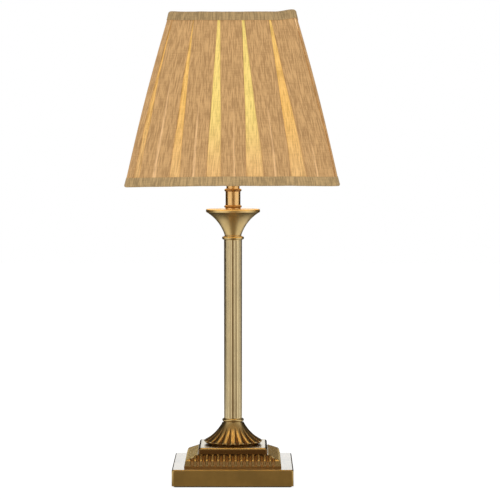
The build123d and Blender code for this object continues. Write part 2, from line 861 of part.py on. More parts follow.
def fat_loop(z):
    """The space a loop takes, with the welding gap round it."""
    side = 2 * wire_half(z)
    path = Pos(0, 0, z) * RectangleRounded(side, side, wire_corner_r).wire()
    return sweep(Plane(path @ 0, z_dir=path % 0) * Circle(wire_r + wire_gap), path)


def rod_between(start, end, r):
    start, end = Vector(*start), Vector(*end)
    return Plane(start, z_dir=end - start) * Cylinder(r, (end - start).length, align=FOOT)


def corner_struts():
    corner_in = wire_corner_r * (1 - sqrt(0.5))
    low = wire_half(z_loop_low) - corner_in
    high = wire_half(z_loop_high) - corner_in
    strut = rod_between((low, low, z_loop_low), (high, high, z_loop_high), strut_r)
    strut = strut - fat_loop(z_loop_low) - fat_loop(z_loop_high)
    strut = strut.solids().sort_by(SortBy.VOLUME)[-1]
    return Compound(round_sides(strut))


def fitter_arms():
    z_level = z_fitter + fitter_t / 2
    foot = wire_half(z_loop_low)
    bend = fitter_r + arm_level
    path = Plane.XZ * FilletPolyline(
        (foot, z_loop_low), (bend, z_level), (fitter_r - arm_r, z_level), radius=arm_bend_r
    )
    arm = sweep(Plane(path @ 0, z_dir=path % 0) * Circle(arm_r), path)
    arm = arm - fat_loop(z_loop_low) - disc(fitter_r + wire_gap, z_fitter - arm_r, fitter_t + 2 * arm_r)
    arm = arm.solids().sort_by(SortBy.VOLUME)[-1]
    return Compound(round_sides(arm))


def fitter_ring():
    return tube(fitter_r, fitter_bore_d / 2, z_fitter, fitter_t)


def trim_band(z_edge, z_low, z_high):
    """A folded band over an edge of the shade: an outer leg and the fold across the wire."""
    leg = shade_shell(0, trim_t, shade_corner_r, shade_corner_r - trim_t, z_low, z_high)
    fold_in = wire_lean * 2 * wire_r + lining_in
    fold = shade_shell(0, fold_in, shade_corner_r, wire_corner_r - wire_r, z_edge, z_edge + trim_t)
    return leg + fold


def bottom_trim():
    return trim_band(z_shade, z_shade, z_shade + trim_low_h)


def top_trim():
    return trim_band(z_shade_top - trim_t, z_shade_top - trim_high_h, z_shade_top)


# ---- The lamp ----

SUB_PARTS = [
    felt_pad, base_plinth, base_weight, base_washer, base_nut, threaded_rod, cord_inlet_bush,
    gadrooned_plinth, fluted_boss, lower_ring, fluted_column, upper_ring, trumpet_collar, trumpet_disc,
    neck_sleeve, holder_cap, holder_skirt, holder_insert, contact_springs, contact_plungers, switch_bar,
    shade_ring, bulb_contacts, bulb_insulator, bulb_cap, bulb_pins, bulb_glass, bulb_stem, bulb_filament,
    fitter_ring, fitter_arms, bottom_wire_frame, top_wire_frame, corner_struts, shade_lining, shade_cover,
    bottom_trim, top_trim,
]

os.makedirs("parts", exist_ok=True)
for make in SUB_PARTS:
    export_step(make(), f"parts/{make.__name__}.step")
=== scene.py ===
"""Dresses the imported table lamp, a brass stand with a bulb and a pleated shade, and sets its stage."""

import cmath
from math import atan2, cos, degrees, dist, hypot, pi, radians, sin, sqrt, tan

import bpy
import numpy as np
from bpy.props import FloatProperty, FloatVectorProperty, IntProperty, PointerProperty
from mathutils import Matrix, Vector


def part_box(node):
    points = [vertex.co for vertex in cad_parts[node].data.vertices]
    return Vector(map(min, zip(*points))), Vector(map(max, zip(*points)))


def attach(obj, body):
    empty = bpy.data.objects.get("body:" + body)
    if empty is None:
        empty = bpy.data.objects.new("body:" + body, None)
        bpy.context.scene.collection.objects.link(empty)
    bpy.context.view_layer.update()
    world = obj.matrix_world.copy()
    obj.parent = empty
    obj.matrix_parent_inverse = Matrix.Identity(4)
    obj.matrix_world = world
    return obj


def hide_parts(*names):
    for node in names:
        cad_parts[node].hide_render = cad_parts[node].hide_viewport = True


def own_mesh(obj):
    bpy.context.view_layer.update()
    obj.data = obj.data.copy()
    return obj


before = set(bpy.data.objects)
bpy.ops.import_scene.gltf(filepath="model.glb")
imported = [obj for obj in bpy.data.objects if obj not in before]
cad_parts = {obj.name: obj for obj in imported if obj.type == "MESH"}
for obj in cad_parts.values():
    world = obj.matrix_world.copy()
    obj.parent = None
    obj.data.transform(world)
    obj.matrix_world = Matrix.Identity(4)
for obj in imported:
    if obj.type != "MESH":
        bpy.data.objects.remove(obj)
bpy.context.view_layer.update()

bl_info = {
    "name": "Column Table Lamp",
    "version": (1, 0, 0),
    "blender": (4, 5, 0),
    "location": "View3D > Sidebar > Lamp",
    "description": "Makes the finished pieces of a brass column lamp with a box-pleated shade",
    "category": "Add Mesh",
}

MM = 0.001
ROD = 0.0053                      # radius of the pieces' bore for the threaded rod
DARK_FLAT = (0.03, 0.026, 0.022)  # what metal mirrors of the studio: dark flats behind the lamp,
WARM_FRONT = (0.3, 0.235, 0.16)   # the dim camera's side,
WARM_TOP = (0.36, 0.285, 0.195)   # the ceiling
BRIGHT_SIDES = (1.2, 1.18, 1.12)  # and the lamps beside it


# ---- Places, from the imported pieces ----

def floor_of(node):
    """The height of a node's lowest point."""
    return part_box(node)[0].z


def top_of(node):
    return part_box(node)[1].z


def reach_of(node):
    """How far a node reaches from the lamp's axis along X, which is a turned piece's radius."""
    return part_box(node)[1].x


# ---- Settings ----

def length(description, default, lowest=0.0):
    """A size that the panel shows in the scene's units."""
    return FloatProperty(description=description, default=default, min=lowest, precision=5, subtype="DISTANCE",
                         unit="LENGTH")


def colour(description, *default):
    return FloatVectorProperty(description=description, default=default, size=3, min=0.0, max=1.0,
                               subtype="COLOR")


def share(description, default):
    return FloatProperty(description=description, default=default, min=0.0, max=1.0, subtype="FACTOR")


def count(description, default, lowest=3):
    return IntProperty(description=description, default=default, min=lowest)


def labelled(group):
    """Names each setting in the panel after its field."""
    for field, setting in group.__annotations__.items():
        setting.keywords["name"] = field.replace("_", " ").capitalize()
    return group


@labelled
class BrassSettings(bpy.types.PropertyGroup):
    """Colours and fine sizes of the lamp's brass."""

    polish: colour("Brass on the worn high parts", 0.56, 0.41, 0.18)
    # The same brown also paints shade on the neck's beads and under the boss's arches, and a dark reflection
    # on the plate's sides.
    patina: colour("Brown film left in the hollows", 0.16, 0.075, 0.018)
    plinth_patina: colour("Film left in the plinth's flutes", 0.33, 0.18, 0.06)
    slab: colour("Satin brass of the square slab", 0.53, 0.35, 0.1)
    # This warmth is partly the brass's own colour and partly painted warm light from the bulb above.
    holder: colour("Warm lacquered brass of the neck and the lampholder", 0.73, 0.46, 0.19)
    column: colour("Paler brass of the column", 0.78, 0.64, 0.37)
    gloss: share("How blurred the brass mirrors its surroundings", 0.2)


@labelled
class PlinthSettings(bpy.types.PropertyGroup):
    """Sizes of the fluted plinth."""

    plate_side: length("Width of the square plate on top", 0.0694)
    plate_height: length("Height of the plate", 0.0048)
    plate_crown: length("How far the plate's top stands up under the boss", 0.0012)
    foot_height: length("Upright band at the foot", 0.0015)
    knee_in: length("How far the knee lies in from the foot", 0.0015)
    knee_height: length("The knee's height above the slab", 0.0072)
    knee_radius: length("Rounding of the knee", 0.004)
    shoulder_in: length("How far the shoulder lies in from the foot", 0.0129)
    flutes: count("Flutes on each side", 15, 1)
    pitch: length("From one flute to the next", 0.0058, 0.001)
    flute_radius: length("Radius of a flute's hollow", 0.0021)
    flute_lift: length("How far a flute's centre line lies outside the surface", 0.0005)
    flute_foot: length("From the slab to a flute's round end", 0.0012)


@labelled
class BossSettings(bpy.types.PropertyGroup):
    """Sizes of the ribbed boss."""

    ribs: count("Ribs round the boss", 20)
    top_radius: length("Radius under the beaded ring", 0.0106)
    tip_height: length("Height of the ribs' tips above the plate", 0.0036)
    sag: length("How far the outline curves in from a straight line", 0.0021)
    depth: length("Depth of the hollows between the ribs at the tips", 0.0021)
    smooth_part: share("Share of the slope above the ribs", 0.22)
    arch: length("Height of the opening under each rib's end", 0.0017)


@labelled
class ColumnSettings(bpy.types.PropertyGroup):
    """Sizes of the column and of the clamping ring's grips."""

    flutes: count("Flutes round the column", 20)
    flute_radius: length("Radius of a flute's hollow", 0.0034)
    flute_depth: length("Depth of a flute", 0.00022)
    bore: length("Radius of the column's bore", 0.0074)
    grips: count("Finger hollows round the clamping ring", 18)
    grip_radius: length("Radius of a finger hollow", 0.0016)
    grip_depth: length("Depth of a finger hollow", 0.0007)


@labelled
class ShadeSettings(bpy.types.PropertyGroup):
    """Sizes and colours of the shade."""

    trim: colour("Woven cloth as light falls on it", 0.43, 0.29, 0.135)
    lining: colour("Thin cloth inside the shade", 0.85, 0.76, 0.56)
    pleat_glow: colour("Light that comes through three layers", 0.17, 0.06, 0.012)
    gap_glow: colour("Light that comes through one layer, near the bulb", 0.55, 0.43, 0.085)
    side_glow: colour("The same, towards the shade's corners", 0.5, 0.25, 0.02)
    low_glow: colour("The same, low on the shade", 0.41, 0.215, 0.06)
    slit_glow: colour("Light through the slits down the pleats' middles", 0.42, 0.23, 0.11)
    lining_glow: colour("Light on the inside of the shade", 1.0, 0.66, 0.3)
    pleat_width: length("Width of a box pleat", 0.0245, 0.002)
    belly: length("How far the cover stands out at half height", 0.0012)
    pleats: count("Box pleats round the shade", 20, 4)
    cloth: length("Thickness of the cloth", 0.00014)
    corner: length("Rounding of the shade's upright corners", 0.006)
    low_trim: length("Height of the lower trim", 0.0092)
    high_trim: length("Height of the upper trim", 0.0086)


@labelled
class StageSettings(bpy.types.PropertyGroup):
    """Camera, light and floor."""

    camera_x: length("How far the camera stands to the right of the axis", 0.0173, -1.0)
    camera_away: length("From the lamp's axis to the camera", 2.2)
    camera_z: length("The camera's height above the floor", 0.3405)
    camera_pitch: FloatProperty(description="How far the camera looks down", default=radians(2.772),
                                subtype="ANGLE")
    lens: FloatProperty(description="Focal length", default=155.7, unit="CAMERA")
    floor: colour("Pale floor", 0.86, 0.86, 0.86)


# ---- Meshes ----

def mesh_object(name, points, faces, sharp=None):
    """A smooth-shaded mesh object at the origin, with edges kept sharp above an angle in degrees."""
    mesh = bpy.data.meshes.new(name)
    mesh.from_pydata(np.asarray(points, float).tolist(), [], faces)
    mesh.validate()
    mesh.shade_smooth()
    if sharp:
        mesh.set_sharp_from_angle(angle=radians(sharp))
    piece = bpy.data.objects.new(name, mesh)
    bpy.context.scene.collection.objects.link(piece)
    return piece


def grid_faces(rows, columns, ring=True, first=0, closed=False):
    """Quads over rows of points; the columns may close into a ring, and the last row may meet the first."""
    faces = []
    for row in range(rows if closed else rows - 1):
        low, high = first + row * columns, first + (row + 1) % rows * columns
        for column in range(columns if ring else columns - 1):
            right = (column + 1) % columns
            faces.append((low + column, low + right, high + right, high + column))
    return faces


def cap_faces(rows, columns):
    """The two end faces of a stack of rings."""
    return [tuple(reversed(range(columns))), tuple(range((rows - 1) * columns, rows * columns))]


def float_attribute(piece, name, values):
    layer = piece.data.attributes.new(name, "FLOAT", "POINT")
    layer.data.foreach_set("value", np.asarray(values, np.float32).ravel())


def ring_relief_and_painted_shade(piece, relief_and_painted_shade):
    """Marks each ring of a piece's points with how proud it is, and with painted shade and dark reflection
    where rings are set low on purpose.
    """
    float_attribute(piece, "relief_and_painted_shade", np.repeat(relief_and_painted_shade, len(piece.data.vertices) // len(relief_and_painted_shade)))


def surface_map(piece, across, up):
    """A UV map in metres, from each point's place along the cloth and up it."""
    layer = piece.data.uv_layers.new(name="UVMap")
    corners = np.zeros(len(piece.data.loops), np.int32)
    piece.data.loops.foreach_get("vertex_index", corners)
    places = np.stack([np.ravel(across)[corners], np.ravel(up)[corners]], axis=1)
    layer.data.foreach_set("uv", places.astype(np.float32).ravel())


def spun(x, y, turn):
    """Places turned about the lamp's axis."""
    return x * np.cos(turn) - y * np.sin(turn), x * np.sin(turn) + y * np.cos(turn)


def as_pairs(places):
    """Complex numbers as (x, z) points."""
    return [(place.real, place.imag) for place in places]


def bowed(start, end, sag, steps=16):
    """Points on an arc from start to end that bows by sag to the left of the way it goes."""
    if not sag:
        return [start, end]
    start, end = complex(*start), complex(*end)
    half = abs(end - start) / 2
    radius = (half * half + sag * sag) / (2 * sag)
    left = (end - start) * 1j / (2 * half)
    side = 1 if sag > 0 else -1
    turns = atan2(half * side, (radius - sag) * side) * np.linspace(-1, 1, steps + 1)
    return as_pairs((start + end) / 2 + left * (sag - radius + radius * np.exp(-1j * turns)))


def evenly(points, step):
    """The same outline with points about a step apart, as an array."""
    spaced = [points[:1]]
    for start, end in zip(points, points[1:]):
        spaced.append(np.linspace(start, end, max(1, round(dist(start, end) / step)) + 1)[1:])
    return np.concatenate(spaced)


def rounded(corners, steps=5):
    """A closed outline from (radius, height, rounding) corners."""
    places = [complex(x, z) for x, z, _ in corners]
    points = []
    for index, (here, (_, _, rounding)) in enumerate(zip(places, corners)):
        if not rounding:
            points.append(here)
            continue
        back, ahead = places[index - 1] - here, places[(index + 1) % len(places)] - here
        back, ahead = back / abs(back), ahead / abs(ahead)
        half = abs(cmath.phase(ahead / back)) / 2
        centre = here + (back + ahead) / abs(back + ahead) * rounding / sin(half)
        first, last = (here + way * rounding / tan(half) - centre for way in (back, ahead))
        turn = cmath.phase(last / first)
        points += [centre + first * cmath.rect(1, turn * step / steps) for step in range(steps + 1)]
    return as_pairs(points)


def facing(route):
    """Unit vectors to the right of the way a route of points goes."""
    slope = np.gradient(route, axis=0)
    slope /= np.linalg.norm(slope, axis=1)[:, None]
    return np.stack([slope[:, 1], -slope[:, 0]], axis=1)


def turned(name, outline, around=144, sharp=40):
    """Turns a closed outline of (radius, height) points, given anticlockwise, about the lamp's axis."""
    angles = 2 * pi * np.arange(around) / around
    points = [(r * cos(a), r * sin(a), z) for r, z in outline for a in angles]
    return mesh_object(name, points, grid_faces(len(outline), around, closed=True), sharp)


def square_loft(name, levels, per_corner=8):
    """A closed solid through rounded squares, each given as (height, half side, corner radius)."""
    points = []
    for z, half, corner in levels:
        ring = [(corner - half, -half)]
        for turn in np.arange(per_corner) / per_corner * pi / 2:
            ring.append((half - corner + corner * sin(turn), -(half - corner + corner * cos(turn))))
        points += [(*spun(x, y, side * pi / 2), z) for side in range(4) for x, y in ring]
    columns = len(points) // len(levels)
    return mesh_object(name, points, grid_faces(len(levels), columns) + cap_faces(len(levels), columns), 40)


def bead_outline(bore, waist, crown, z, height, steps=14):
    """A half-round bead between two short waists, with a bore."""
    edge = height * 0.12
    low, high = z + edge, z + height - edge
    bead = bowed((waist, low), (waist, high), waist - crown, steps)
    return [(bore, z), (waist, z), *bead, (waist, z + height), (bore, z + height)]


# ---- Shader maths ----

def arithmetic(operation):
    """A method of Value that adds a Math node."""
    return lambda self, *others: self.math(operation, *others)


class Value:
    """A number in a node tree. Sums and products of values add Math nodes."""

    def __init__(self, nodes, socket):
        self.nodes, self.socket = nodes, socket

    def math(self, operation, *others):
        terms = dict(enumerate((self, *others)))
        return Value(self.nodes, self.nodes.first("ShaderNodeMath", {"operation": operation}, terms))

    __add__ = __radd__ = arithmetic("ADD")
    __mul__ = __rmul__ = arithmetic("MULTIPLY")
    __sub__ = arithmetic("SUBTRACT")
    __truediv__ = arithmetic("DIVIDE")
    __pow__ = arithmetic("POWER")
    __abs__ = arithmetic("ABSOLUTE")

    def __rsub__(self, other):
        return self * -1 + other

    def step(self, low, high, start=0.0, end=1.0):
        """Rises smoothly from start at low to end at high."""
        sockets = {"Value": self, "From Min": low, "From Max": high, "To Min": start, "To Max": end}
        smooth = {"interpolation_type": "SMOOTHSTEP"}
        return Value(self.nodes, self.nodes.first("ShaderNodeMapRange", smooth, sockets))


class Nodes:
    """A node tree that is being filled."""

    def __init__(self, tree):
        self.tree = tree

    def node(self, kind, settings=None, sockets=None):
        """One node of a type, with its settings and the values or links of its sockets."""
        node = self.tree.nodes.new(kind)
        for name, setting in (settings or {}).items():
            setattr(node, name, setting)
        for name, given in (sockets or {}).items():
            socket = node.inputs[name]
            if isinstance(given, Value):
                given = given.socket
            if isinstance(given, bpy.types.NodeSocket):
                self.tree.links.new(given, socket)
            elif isinstance(given, (int, float)):
                socket.default_value = given
            else:
                socket.default_value = (*given, 1.0)[:len(socket.default_value)]
        return node

    def first(self, kind, settings=None, sockets=None):
        """A new node's first output."""
        return self.node(kind, settings, sockets).outputs[0]


class Look(Nodes):
    """The nodes of one material, or of the world."""

    def __init__(self, owner):
        self.material = bpy.data.materials.new(owner) if isinstance(owner, str) else owner
        self.material.use_nodes = True
        super().__init__(self.material.node_tree)
        self.tree.nodes.clear()

    def place(self, scale=(1, 1, 1), on_cloth=False):
        """Object coordinates, or places on the cloth from its own map in metres, stretched."""
        if on_cloth:
            where = self.first("ShaderNodeUVMap", {"uv_map": "UVMap"})
        else:
            where = self.node("ShaderNodeTexCoord").outputs["Object"]
        return self.first("ShaderNodeMapping", {}, {"Vector": where, "Scale": scale})

    def axes(self, vector):
        split = self.node("ShaderNodeSeparateXYZ", {}, {0: vector})
        return [Value(self, output) for output in split.outputs]

    def attribute(self, name):
        node = self.node("ShaderNodeAttribute", {"attribute_name": name})
        return Value(self, node.outputs["Fac"])

    def noise(self, where, scale, detail=3.0, roughness=0.55):
        sockets = {"Vector": where, "Scale": scale, "Detail": detail, "Roughness": roughness}
        return Value(self, self.node("ShaderNodeTexNoise", {}, sockets).outputs["Fac"])

    def mix(self, factor, one, other):
        """A colour between one, at 0, and other, at 1."""
        return self.node("ShaderNodeMix", {"data_type": "RGBA"}, {0: factor, 6: one, 7: other}).outputs[2]

    def bump(self, height, distance, strength=1.0):
        return self.first("ShaderNodeBump", {}, {"Height": height, "Distance": distance, "Strength": strength})

    def blend(self, factor, one, other):
        """A surface between one, at 0, and other, at 1."""
        return self.first("ShaderNodeMixShader", {}, {0: factor, 1: one, 2: other})

    def shine(self, colour, strength=1.0, kind="Emission"):
        """Light of one colour, from a surface or a background."""
        return self.first("ShaderNode" + kind, {}, {"Color": colour, "Strength": strength})

    def finish(self, **sockets):
        """A principled surface; socket names are written with underscores."""
        named = {name.replace("_", " ").title().replace("Ior", "IOR"): sockets[name] for name in sockets}
        surface = self.first("ShaderNodeBsdfPrincipled", {}, named)
        self.node("ShaderNodeOutputMaterial", {}, {"Surface": surface})
        return self.material


def paint(piece, material):
    """Gives a piece or a node one material."""
    piece.data.materials.clear()
    piece.data.materials.append(material)


def fit(piece, body, slot, material, *nodes):
    """Finishes a piece: its material, the body it moves with and the nodes it stands for."""
    paint(piece, material)
    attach(piece, body)
    if nodes:
        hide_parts(*nodes)
    return piece


def keep(material, *nodes):
    """Shows nodes as they are, with a finish of their own."""
    for node in nodes:
        paint(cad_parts[node], material)


def scaled(colour, times):
    return tuple(min(1.0, times * value) for value in colour)


# ---- Brass ----

def brass_look(name, polish, rougher=0.0, patina=None, relief_and_painted_shade=False, lines=(40, 40, 2500), line_depth=0.00001,
               coat=0.25):
    """Antique brass: lacquered, a little blotched, with tool marks, and brown where relief_and_painted_shade
    is 0: patina in the hollows, painted shade on the neck's beads and under the boss's arches, and a painted
    dark reflection on the plate's sides.
    """
    brass = bpy.context.scene.lamp_brass
    look = Look(name)
    blotch = look.noise(look.place(), 45.0, 4.0, 0.6)
    grain = look.noise(look.place(lines), 1.0, 2.0, 0.5)
    speck = look.noise(look.place(), 1400.0, 2.0)
    base = look.mix(blotch.step(0.35, 0.7), polish, scaled(polish, 0.82))
    rough = brass.gloss + rougher + blotch * 0.08 + speck * 0.06 + grain * 0.05
    if relief_and_painted_shade:
        height = look.attribute("relief_and_painted_shade") if relief_and_painted_shade is True else relief_and_painted_shade(look)
        # 1 keeps the polish; towards 0 the brass takes the brown: patina in hollows, and painted shade and
        # dark reflection where a piece sets the attribute low.
        worn_and_lit = (height + blotch * 0.3 - 0.15).step(0.25, 0.8)
        base = look.mix(worn_and_lit, patina or brass.patina, base)
        rough = rough + (1 - worn_and_lit) * 0.22
    return look.finish(base_color=base, metallic=1.0, roughness=rough, coat_weight=coat, coat_roughness=0.12,
                       normal=look.bump(grain, line_depth, 0.6))


def plain_look(name, base, metallic=0.0, roughness=0.5, scale=300.0, spread=0.12, depth=0.00002, **more):
    """A moulded, cast or drawn finish with a little unevenness."""
    look = Look(name)
    grain = look.noise(look.place(), scale, 4.0)
    return look.finish(base_color=look.mix(grain, base, scaled(base, 1 - spread)), metallic=metallic,
                       roughness=grain * spread + roughness, normal=look.bump(grain, depth), **more)


class LAMP_OT_base(bpy.types.Operator):
    """Finish the square slab, its felt, and the weight, washer, nut, rod and bush that belong to it"""

    bl_idname = "lamp.base"
    bl_label = "Base slab"

    def execute(self, context):
        slab = context.scene.lamp_brass.slab
        keep(brass_look("slab_brass", slab, 0.03, lines=(30, 30, 2200), coat=1.0), "base_plinth")
        steel = plain_look("zinc_plate", (0.62, 0.6, 0.54), 1.0, 0.32, 500.0)
        keep(steel, "base_washer", "base_nut", "threaded_rod")
        keep(plain_look("cast_iron", (0.1, 0.1, 0.1), 0.7, 0.6, 260.0, 0.4, 0.0002), "base_weight")
        keep(plain_look("bush_moulding", (0.035, 0.028, 0.022), 0.0, 0.45, 900.0), "cord_inlet_bush")
        self.felt()
        return {"FINISHED"}

    def felt(self):
        low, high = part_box("felt_pad")
        edge, half, corner = 0.0003, high.x, 0.002
        pad = square_loft("felt", [
            (low.z, half - edge, corner), (low.z + edge, half, corner), (high.z - edge, half, corner),
            (high.z, half - edge, corner),
        ])
        look = Look("green_felt")
        fibre = look.noise(look.place(), 900.0, 5.0, 0.7)
        tint = look.mix(fibre, (0.012, 0.028, 0.018), (0.03, 0.055, 0.036))
        fit(pad, "stand", "felt", look.finish(base_color=tint, roughness=0.95, sheen_weight=0.4,
                                              normal=look.bump(fibre, 0.0003)), "felt_pad")


class LAMP_OT_plinth(bpy.types.Operator):
    """Make the plinth: an ovolo with round-ended flutes on four sides, and the plate on top of it"""

    bl_idname = "lamp.plinth"
    bl_label = "Fluted plinth"

    def execute(self, context):
        sizes, brass = context.scene.lamp_plinth, context.scene.lamp_brass
        for make, name, patina in (
            (self.ovolo, "plinth_brass", brass.plinth_patina), (self.plate, "plate_brass", brass.patina),
        ):
            look = brass_look(name, brass.polish, -0.04, patina, True, (900, 900, 900), 0.00002)
            fit(make(sizes), "stand", "brass_body", look, "gadrooned_plinth")
        return {"FINISHED"}

    def profile(self, sizes):
        """Points of the ovolo's side view from the slab up, as (half side, height)."""
        low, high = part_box("gadrooned_plinth")
        half, shoulder_z = high.x, high.z - sizes.plate_height
        return rounded([
            (0.0, low.z, 0), (half, low.z, 0), (half, low.z + sizes.foot_height, 0.0004),
            (half - sizes.knee_in, low.z + sizes.knee_height, sizes.knee_radius),
            (half - sizes.shoulder_in, shoulder_z, 0.0006), (0.0, shoulder_z, 0),
        ], 7)[1:-1]

    def ovolo(self, sizes):
        profile = evenly(self.profile(sizes), 0.0004)
        low = floor_of("gadrooned_plinth")
        columns = self.columns(sizes, profile[0, 0])
        z_end = low + sizes.flute_foot + sizes.flute_radius
        points, relief_and_painted_shade = [], []
        for side in range(4):
            for (half, z), normal in zip(profile, facing(profile)):
                t = np.clip(columns, -half, half)
                depth, height = self.flutes(sizes, t, half, z, z_end)
                x, y = spun(t, depth * normal[0] - half, side * pi / 2)
                points.append(np.stack([x, y, z - depth * normal[1]], axis=1))
                # Rows of the foot band below the flutes' ends get at most 0.3, so the band takes the flutes'
                # darker, more orange colour.
                relief_and_painted_shade.append(np.minimum(height, 0.3 if z < low + sizes.flute_foot + 0.0008 else 1.0))
        across = len(columns)
        size = len(profile) * across
        faces, low_ring, high_ring = [], [], []
        for first in range(0, 4 * size, size):
            faces += grid_faces(len(profile), across, ring=False, first=first)
            low_ring += range(first, first + across)
            high_ring += range(first + size - across, first + size)
        faces += [tuple(reversed(low_ring)), tuple(high_ring)]
        piece = mesh_object("gadrooned_ovolo", np.concatenate(points), faces)
        float_attribute(piece, "relief_and_painted_shade", np.concatenate(relief_and_painted_shade))
        piece.modifiers.new("Weld", "WELD").merge_threshold = 1e-6
        settle(piece)
        piece.data.set_sharp_from_angle(angle=radians(50))
        return piece

    def middles(self, sizes):
        """The flutes' middles along a side."""
        return (np.arange(sizes.flutes) - (sizes.flutes - 1) / 2) * sizes.pitch

    def columns(self, sizes, reach):
        """Places across a side, close together at the rims of the flutes."""
        rim = sqrt(sizes.flute_radius ** 2 - sizes.flute_lift ** 2)
        beside = np.array([-1.08, -1.0, -0.93, -0.8, -0.6, -0.3, 0.0, 0.3, 0.6, 0.8, 0.93, 1.0, 1.08]) * rim
        inner = (self.middles(sizes)[:, None] + beside).ravel()
        ends = np.linspace(inner[-1], reach, 8)[1:]
        return np.concatenate([-ends[::-1], inner, ends])

    def flutes(self, sizes, t, half, z, z_end):
        """How deep the flutes cut at places across a side at one height, and how proud the surface is."""
        away = np.hypot(np.abs(t[:, None] - self.middles(sizes)).min(axis=1), max(0.0, z_end - z))
        hollow = np.sqrt(np.maximum(0.0, sizes.flute_radius ** 2 - away ** 2)) - sizes.flute_lift
        mitre = np.clip((half - np.abs(t)) / 0.0012, 0, 1)
        depth = np.maximum(0.0, hollow) * mitre
        return depth, 1 - np.clip(depth / (sizes.flute_radius - sizes.flute_lift), 0, 1)

    def plate(self, sizes):
        high = top_of("gadrooned_plinth") + sizes.plate_crown
        thick = sizes.plate_height + sizes.plate_crown
        half, edge, corner = sizes.plate_side / 2, 0.0027, 0.002
        levels = [(high - thick - 0.0005, half)]
        levels += [(high - thick + 0.0001 + (thick - edge) * step / 6, half) for step in range(6)]
        # The plate's upright sides get 0.1, so they take the dark brown: a painted dark reflection. The value
        # rises round the rounded edge to 0.9 on top.
        relief_and_painted_shade = [0.1] * len(levels)
        for step in range(9):
            turn = step / 8 * pi / 2
            levels.append((high - edge + edge * sin(turn), half - edge + edge * cos(turn)))
            relief_and_painted_shade.append(0.1 + 0.8 * min(1, step / 3) ** 2)
        levels.append((high, half - 1.4 * edge))
        relief_and_painted_shade.append(0.9)
        piece = square_loft("plinth_plate", [(*level, corner) for level in levels])
        ring_relief_and_painted_shade(piece, relief_and_painted_shade)
        return piece


def settle(piece):
    """Turns what the modifiers make into the piece's own mesh."""
    view = bpy.context.evaluated_depsgraph_get()
    made = bpy.data.meshes.new_from_object(piece.evaluated_get(view), depsgraph=view)
    old = piece.data
    piece.modifiers.clear()
    piece.data = made
    made.name = piece.name
    bpy.data.meshes.remove(old)


class LAMP_OT_boss(bpy.types.Operator):
    """Make the boss, whose ribs swell towards its foot and end in small arches"""

    bl_idname = "lamp.boss"
    bl_label = "Ribbed boss"

    def execute(self, context):
        look = brass_look("boss_brass", context.scene.lamp_brass.polish, relief_and_painted_shade=True, lines=(700, 700, 700),
                          line_depth=0.00002)
        fit(self.boss(context.scene.lamp_boss), "stand", "brass_body", look, "fluted_boss")
        return {"FINISHED"}

    def boss(self, sizes):
        low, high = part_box("fluted_boss")
        low.z += bpy.context.scene.lamp_plinth.plate_crown
        tip = (high.x, low.z + sizes.tip_height)
        slope = bowed((sizes.top_radius, high.z), tip, -sizes.sag, 44)
        per_rib = 24
        around = sizes.ribs * per_rib
        angles = -pi / 2 + 2 * pi * np.arange(around) / around
        phase = np.abs((np.arange(around) / per_rib + 0.5) % 1 - 0.5)
        rows, relief_and_painted_shade = [], []
        for place, (r, z) in enumerate(slope):
            down = place / (len(slope) - 1)
            grown = np.clip((down - sizes.smooth_part) / (1 - sizes.smooth_part), 0, 1)
            offset, height = self.section(phase, sizes.depth * grown ** 0.8, 0.5 - 0.22 * grown ** 0.5)
            rows.append((r - offset, np.full(around, z)))
            relief_and_painted_shade.append(height if grown > 0 else np.ones(around))
        self.lip(sizes, low.z, tip, phase, rows, relief_and_painted_shade)
        points = [np.stack([r * np.cos(angles), r * np.sin(angles), z], axis=1) for r, z in reversed(rows)]
        count = len(points)
        faces = grid_faces(count, around) + cap_faces(count, around)
        piece = mesh_object("ribbed_boss", np.concatenate(points), faces, 60)
        float_attribute(piece, "relief_and_painted_shade", np.concatenate(relief_and_painted_shade[::-1]))
        return piece

    def section(self, phase, depth, rib_half):
        """How far in a section lies at each phase, with round ribs and hollow flutes, and how proud it is."""
        on_rib = phase <= rib_half
        rib = 0.4 * (phase / rib_half) ** 2
        into = np.clip((phase - rib_half) / max(0.5 - rib_half, 1e-6), 0, 1)
        flute = 0.4 + 0.6 * np.sqrt(1 - (1 - into) ** 2)
        inward = np.where(on_rib, rib, flute)
        return depth * inward, np.where(on_rib, 1 - 0.35 * (phase / rib_half) ** 4, 0.25 - 0.25 * into)

    def lip(self, sizes, foot, tip, phase, rows, relief_and_painted_shade):
        """The scalloped edge: it arches up at each rib's end and is open underneath."""
        r_tip, z_tip = tip
        wall, gap = 0.0042, 0.0008
        level = np.zeros(len(phase))
        offset, height = self.section(phase, sizes.depth, 0.28)
        edge = foot + gap + np.sqrt(np.clip(1 - (phase / 0.3) ** 2, 0, 1)) * sizes.arch
        outer, inner = r_tip - offset, level + r_tip - wall
        for drop, inset, worn_and_lit in ((0.45, 0.0, 0.9), (0.85, 0.0001, 0.9), (1.0, 0.0004, 1.0)):
            rows.append((outer - inset, z_tip + (edge - z_tip) * drop))
            relief_and_painted_shade.append(np.maximum(height * worn_and_lit, 0.35 if drop == 1.0 else 0.0))
        # Under each arch the rows get 0.5 and then 0, so they take the brown: patina in the hollow and painted
        # shade under the arch.
        for r, z, worn_and_lit in (
            (outer - 0.0011, edge, 0.5), (outer - 0.0016, edge + gap, 0.0),
            (inner, level + foot + 0.0004, 0.0), (inner, level + foot, 0.0),
        ):
            rows.append((r, z))
            relief_and_painted_shade.append(level + worn_and_lit)


